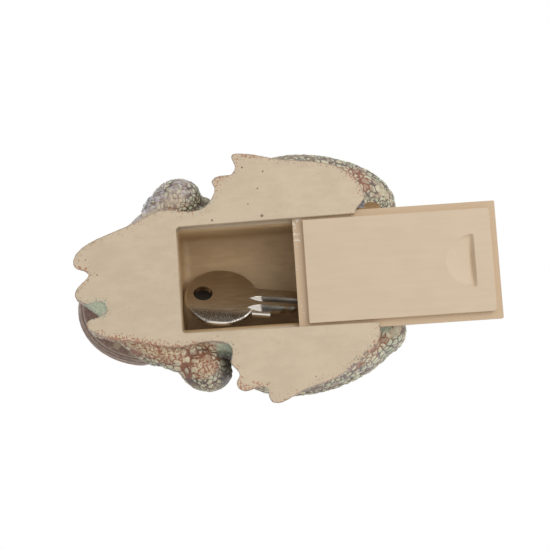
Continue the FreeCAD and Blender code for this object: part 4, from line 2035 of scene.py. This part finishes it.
    def build(self) -> bpy.types.Object:
        """Make the whole casting and set it into the frame.

        Returns:
            The finished piece.
        """
        body = self.rough_form()
        self.sculpt(body)
        points = points_of(body)
        keep_values(body, "raised", self.smooth_parts(points)[2] * (
            0.5 + 0.5 * smooth_step(points[:, 2], 12.0, 28.0)))
        self.pebble_relief(body)
        self.trim_base(body)
        combine(body, self.slot_cutter(), Join.CUT)
        corner = flat_form(self.cut_corner, -1.0, self.lip + 0.6, "cut_corner")
        combine(body, corner, Join.CUT)
        combine(body, self.arch.model()[0], Join.CUT)
        self.paint_masks(body)
        for side in Side:
            self.eyeball(side)
        return finish_piece(body, "frog", "frog_body")

    def eyeball(self, side: Side) -> bpy.types.Object:
        """One glossy eyeball set between its lids.

        Args:
            side: Which eye.

        Returns:
            The finished piece.
        """
        axis = self.eye_axis(side)
        clear_selection()
        bpy.ops.mesh.primitive_uv_sphere_add(segments=64, ring_count=40,
                                             radius=self.eye_radius)
        eye = set_down(f"eye_{side.name.lower()}")
        own = points_of(eye)
        mesh = eye.data
        gaze = mesh.attributes.new("gaze", "FLOAT_VECTOR", "POINT")
        gaze.data.foreach_set("vector", own.astype(np.float32).ravel())
        turn = axis.to_track_quat("Z", "Y").to_matrix().to_4x4()
        mesh.transform(self.head_place.matrix() @ Matrix.Translation(self.eye_centre(side))
                       @ turn)
        mesh.materials.append(GlossyEye().material())
        return finish_piece(eye, "frog", None, 180.0)


# The sliding cover


@dataclass
class SlidingCover:
    """The stepped cover: a raised panel on a wider tongue, with a finger scoop."""

    panel_half: float = 17.7
    panel_front: float = 24.2
    panel_end: float = 88.0
    panel_face: float = 0.3
    tongue_half: float = 20.3
    tongue_front: float = 20.7
    tongue_end: float = 90.3
    tongue_face: float = 2.3
    tongue_back: float = 4.7
    panel_corner: float = 1.2
    tongue_corner: float = 0.5
    front_corner: float = 0.3
    soft_edge: float = 0.4
    scoop_half: float = 8.9
    scoop_reach: float = 9.6
    scoop_depth: float = 1.6
    scoop_valley: float = 0.35
    scoop_wall: float = 81.5
    cutter_depth: float = 4.0

    def plate(self, half: float, y: tuple[float, float], z: tuple[float, float],
              corner: float) -> bpy.types.Object:
        """A flat plate whose upright edges are rounded, the front ones only a little.

        Args:
            half: Its half size along X.
            y: Its low and high along Y.
            z: Its low and high along Z.
            corner: The round at the rear.

        Returns:
            The plate.
        """
        obj = block((-half, half), y, z)
        middle = sum(y) / 2
        round_edges(obj, lambda a, b: is_upright(a, b) and a.y > middle, corner, 6)
        round_edges(obj, lambda a, b: is_upright(a, b) and a.y < middle, self.front_corner, 3)
        return obj

    def scoop(self) -> bpy.types.Object:
        """The scoop's form: a shallow ramp that ends at a steep rounded wall.

        Returns:
            The form to cut away.
        """
        clear_selection()
        bpy.ops.mesh.primitive_grid_add(x_subdivisions=64, y_subdivisions=64, size=2.0)
        obj = set_down("scoop")
        points = points_of(obj)
        side_room, end_room, shift = 1.5, 2.2, 0.8    # the form is larger than the scoop
        x = points[:, 0] * (self.scoop_half + side_room)
        y = self.scoop_wall - self.scoop_reach / 2 + shift + points[:, 1] * (
            self.scoop_reach / 2 + end_room)
        run = (self.scoop_wall - y) / self.scoop_reach
        across = np.clip(1.0 - (x / self.scoop_half) ** 2, 0.0, 1.0)
        ramp = np.clip(1.0 - run / np.maximum(np.sqrt(across), 0.01), 0.0, 1.0) ** 0.85
        wall = smooth_step(run, -0.07, 0.05)
        valley = self.scoop_valley * np.exp(-((run - 0.07) / 0.05) ** 2)
        depth = (self.scoop_depth * ramp + valley) * wall * across ** 0.25
        points[:, 0] = x
        points[:, 1] = y
        points[:, 2] = self.panel_face - 0.03 + depth
        move_points(obj, points)
        thicken(obj, -self.cutter_depth)
        return obj

    def build(self) -> bpy.types.Object:
        """Make the cover and set it into the frame.

        Returns:
            The finished piece.
        """
        cover = self.plate(self.tongue_half, (self.tongue_front, self.tongue_end),
                           (self.tongue_face, self.tongue_back), self.tongue_corner)
        panel = self.plate(self.panel_half, (self.panel_front, self.panel_end),
                           (self.panel_face, self.tongue_face + 0.5), self.panel_corner)
        combine(cover, panel, Join.UNION)
        apply_modifier(cover, "BEVEL", width=self.soft_edge, segments=4,
                       limit_method="ANGLE", angle_limit=math.radians(50.0))
        combine(cover, self.scoop(), Join.CUT)
        cover.name = "sliding_cover_cast"
        cover.data.materials.clear()
        cover.data.materials.append(CoverResin().material())
        finish_piece(cover, "cover", "sliding_cover", 30.0)
        apply_modifier(cover, "WEIGHTED_NORMAL", keep_sharp=True, weight=100)
        return cover


# The key


@dataclass(frozen=True)
class Groove:
    """A milled groove along the blade: its two edges, start, pointed length and depth."""

    low: float
    high: float
    start: float
    leaf: float
    depth: float


@dataclass
class Key:
    """A flat key with a round bow, milled blade and cuts along its lower edge."""

    bow_radius: float = 12.9
    thickness: float = 2.0
    hole_radius: float = 3.3
    hole_from_centre: float = 6.4
    hole_offset: float = 0.6
    blade_half: float = 4.65
    neck_half: float = 5.5
    shoulder_start: float = 9.4
    shoulder_length: float = 5.0
    blade_length: float = 42.5
    tip_half: float = 1.5
    tip_length: float = 2.6
    stop_reach: float = 2.9
    stop_start: float = 11.3
    stop_end: float = 17.6
    stop_edge: float = 0.7
    grooves: tuple[Groove, ...] = (
        Groove(-1.2, 1.3, 9.8, 4.6, 0.6), Groove(-6.0, -2.7, 9.3, 5.2, 0.6))
    cut_first: float = 23.2
    cut_pitch: float = 4.1
    cut_depths: tuple[float, ...] = (1.6, 2.4, 1.2, 2.1, 1.2)
    cut_flat: float = 1.2
    bow_edge: float = 0.85
    soft_edge: float = 0.28
    roll: float = 38.0
    turn: float = 8.0
    pocket: Pocket = Pocket()
    gap: float = 0.3
    front_room: float = 0.5

    def blank(self) -> bpy.types.Object:
        """Bow, blade and stop in one, with smooth shoulders between bow and blade.

        Returns:
            The blank.
        """
        low, high = -self.thickness / 2, self.thickness / 2
        clear_selection()
        bpy.ops.mesh.primitive_cylinder_add(vertices=160, radius=self.bow_radius,
                                            depth=self.thickness)
        key = set_down("key_with_cuts")
        round_edges(key, is_level, self.bow_edge, 5)
        taper = self.neck_half - self.blade_half
        shoulder = [(self.blade_half + taper * (1.0 - share) ** 2,
                     self.shoulder_start + share * self.shoulder_length)
                    for share in (0.0, 0.15, 0.3, 0.45, 0.6, 0.8, 1.0)]
        right = [(self.neck_half, 0.0)] + shoulder
        right += [(self.blade_half, self.blade_length - self.tip_length),
                  (self.tip_half, self.blade_length)]
        left = [(-x, y) for x, y in reversed(right)]
        combine(key, flat_form(right + left, low, high, "blade"), Join.UNION)
        stop = block((-self.blade_half - self.stop_reach, 0.0),
                     (self.stop_start, self.stop_end), (low + 0.001, high - 0.001))
        round_edges(stop, lambda a, b: is_level(a, b) and max(a.x, b.x) < -self.blade_half,
                    self.stop_edge, 5)
        combine(key, stop, Join.UNION)
        clear_selection()
        bpy.ops.mesh.primitive_cylinder_add(
            vertices=64, radius=self.hole_radius, depth=2 * self.thickness,
            location=(self.hole_offset, -self.hole_from_centre, 0.0))
        combine(key, set_down("hole"), Join.CUT)
        return key

    def bitting(self, key: bpy.types.Object) -> None:
        """Cut the notches along the lower edge."""
        for index, depth in enumerate(self.cut_depths):
            middle = self.cut_first + index * self.cut_pitch
            wide = self.cut_flat / 2 + 2.0 * depth
            corners = [(-self.blade_half - depth, middle - wide),
                       (-self.blade_half - depth, middle + wide),
                       (-self.blade_half + depth, middle + self.cut_flat / 2),
                       (-self.blade_half + depth, middle - self.cut_flat / 2)]
            notch = flat_form(corners, -self.thickness, self.thickness, "notch")
            combine(key, notch, Join.CUT)

    def milling(self, key: bpy.types.Object) -> None:
        """Mill the grooves, each with the pointed start that a disc cutter leaves.

        Args:
            key: The key.
        """
        face = -self.thickness / 2
        far = self.blade_length + 1.0
        for groove in self.grooves:
            clear_selection()
            bpy.ops.mesh.primitive_grid_add(x_subdivisions=12, y_subdivisions=120, size=2.0)
            cutter = set_down("groove")
            points = points_of(cutter)
            share = (points[:, 1] + 1.0) / 2.0
            run = share ** 1.6 * (far - groove.start)
            begun = np.clip(run / groove.leaf, 0.0, 1.0)
            middle = (groove.low + groove.high) / 2
            half = (groove.high - groove.low) / 2
            wide = half * np.maximum(0.01, np.sin(begun * math.pi / 2))
            across = np.clip(points[:, 0] * 1.12, -1.0, 1.0)
            side = smooth_step(np.abs(points[:, 0]), 1.0, 0.86)
            slant = 1.0 - smooth_step(run, groove.leaf * 0.85, groove.leaf * 1.2)
            side *= 1.0 - 0.49 * slant * (points[:, 0] + 1.0)
            points[:, 0] = middle + across * wide
            points[:, 1] = groove.start + run
            sunk = groove.depth * np.sin(begun * math.pi / 2) * side
            points[:, 2] = face - 0.02 + sunk
            move_points(cutter, points)
            thicken(cutter, -self.thickness)
            combine(key, cutter, Join.CUT)

    def dress(self, key: bpy.types.Object) -> None:
        """Plate the key, with a duller finish along the milled grooves.

        Args:
            key: The key.
        """
        mesh = key.data
        mesh.materials.clear()
        for finish in (NickelPlate(), MilledNickel()):
            mesh.materials.append(finish.material())
        floor = 0.25 - self.thickness / 2
        for face in mesh.polygons:
            begun = self.grooves[0].start + self.grooves[0].leaf
            face.material_index = int(floor < face.center.z < 0.0 and face.center.y > begun
                                      and face.normal.z < -0.5)

    def build(self) -> bpy.types.Object:
        """Make the key as it lies, leaning on the pocket's side wall.

        Returns:
            The finished piece.
        """
        key = self.blank()
        self.bitting(key)
        apply_modifier(key, "BEVEL", width=self.soft_edge, segments=3,
                       limit_method="ANGLE", angle_limit=math.radians(40.0))
        self.milling(key)
        self.dress(key)
        roll = math.radians(self.roll)
        reach_x = self.bow_radius * math.cos(roll) + self.thickness / 2 * math.sin(roll)
        reach_z = self.bow_radius * math.sin(roll) + self.thickness / 2 * math.cos(roll)
        at = Vector((-self.pocket.half + self.gap + reach_x,
                     self.pocket.front + self.front_room + self.bow_radius,
                     self.pocket.roof - self.gap - reach_z))
        lie = (Matrix.Translation(at) @ Matrix.Rotation(math.radians(self.turn), 4, "Z")
               @ Matrix.Rotation(-roll, 4, "Y"))
        key.data.transform(lie)
        finish_piece(key, "key", "key", 25.0)
        apply_modifier(key, "WEIGHTED_NORMAL", keep_sharp=True, weight=60)
        return key


# The studio


@dataclass(frozen=True)
class Lamp:
    """One soft square lamp."""

    name: str
    at: Point
    power: float
    size: float = 0.6

    def hang(self, towards: Point) -> None:
        """Hang the lamp, aimed at a point.

        Args:
            towards: The point.
        """
        data = bpy.data.lights.new(self.name, "AREA")
        data.shape = "SQUARE"
        data.size = self.size
        data.energy = self.power
        obj = bpy.data.objects.new(self.name, data)
        bpy.context.scene.collection.objects.link(obj)
        obj.location = self.at
        aim = Vector(towards) - Vector(self.at)
        obj.rotation_euler = aim.to_track_quat("-Z", "Y").to_euler()


@dataclass(frozen=True)
class Studio:
    """A camera at the photograph's place, plain lamps, a pale world and a pale floor."""

    aim: Point = (-0.00052, 0.0136, 0.0)
    distance: float = 0.52
    tilt: float = 6.0
    roll: float = 3.9
    lens: float = 100.1
    sensor: float = 36.0
    daylight: float = 0.62
    floor_size: float = 3.0
    floor_drop: float = 0.0003
    floor_fade: Span = (0.14, 0.46)
    floor_tone: tuple[float, float, float, float] = (0.93, 0.93, 0.93, 1.0)
    lit: Point = (0.0, 0.0, 0.02)
    lamps: tuple[Lamp, ...] = (
        Lamp("lamp_below", (0.20, 0.44, -0.56), 2.5),
        Lamp("lamp_above", (0.35, -0.45, 0.75), 3.4),
        Lamp("lamp_behind", (-0.55, 0.55, 0.55), 2.2))

    def camera(self) -> None:
        """Set up the camera below the upturned base, as photographed."""
        tilt = math.radians(self.tilt)
        roll = math.radians(self.roll)
        back = Vector((-math.sin(tilt), 0.0, -math.cos(tilt)))
        level = Vector((0.0, 1.0, 0.0))
        up = Vector((math.cos(tilt), 0.0, -math.sin(tilt)))
        right = level * math.cos(roll) - up * math.sin(roll)
        up = up * math.cos(roll) + level * math.sin(roll)
        data = bpy.data.cameras.new("camera")
        data.lens = self.lens
        data.sensor_width = self.sensor
        data.clip_start = 0.02
        data.clip_end = 20.0
        cam = bpy.data.objects.new("camera", data)
        bpy.context.scene.collection.objects.link(cam)
        turn = Matrix((right, up, back)).transposed().to_4x4()
        cam.matrix_world = Matrix.Translation(Vector(self.aim) + back * self.distance) @ turn
        bpy.context.scene.camera = cam

    def world(self) -> None:
        """A white background for the camera and a softer white light for the rest."""
        world = bpy.data.worlds.new("pale_world")
        bpy.context.scene.world = world
        desk = Desk.on(world)
        paths = desk.add("ShaderNodeLightPath").outputs
        seen = desk.math("MAXIMUM", paths["Is Camera Ray"], paths["Is Glossy Ray"])
        back = desk.add("ShaderNodeBackground", {
            "Color": (1.0, 1.0, 1.0, 1.0), "Strength": desk.ramp(seen, 0.0, 1.0,
                                                                 self.daylight, 1.0)})
        desk.add("ShaderNodeOutputWorld", {"Surface": back.outputs[0]})

    def floor(self) -> None:
        """A pale floor under the feet that the camera looks through from below."""
        clear_selection()
        bpy.ops.mesh.primitive_plane_add(size=self.floor_size,
                                         location=(0.0, 0.0, -self.floor_drop))
        floor = set_down("floor")
        material = bpy.data.materials.new("pale_floor")
        desk = Desk.on(material)
        above = desk.math("SUBTRACT", desk.add("ShaderNodeLightPath").outputs["Is Camera Ray"],
                          desk.add("ShaderNodeNewGeometry").outputs["Backfacing"], clamp=True)
        away = desk.vector("LENGTH", desk.add("ShaderNodeTexCoord").outputs["Object"])
        shown = desk.times(above, desk.ramp(away, *self.floor_fade, 1.0, 0.0))
        clear = desk.add("ShaderNodeBsdfTransparent").outputs[0]
        matt = desk.add("ShaderNodeBsdfDiffuse", {"Color": self.floor_tone}).outputs[0]
        mix = desk.add("ShaderNodeMixShader", {0: shown, 1: clear, 2: matt})
        desk.add("ShaderNodeOutputMaterial", {"Surface": mix.outputs[0]})
        floor.data.materials.append(material)

    def build(self) -> None:
        """Set up everything round the object."""
        self.camera()
        self.world()
        self.floor()
        for lamp in self.lamps:
            lamp.hang(self.lit)
        bpy.context.scene.view_settings.view_transform = "Standard"


def main() -> None:
    """Build every sub-assembly in order, then the studio round them."""
    logging.basicConfig(level=logging.INFO, format="%(name)s: %(message)s")
    FrogCasting().build()
    SlidingCover().build()
    Key().build()
    Studio().build()


if __name__ == "__main__":
    main()
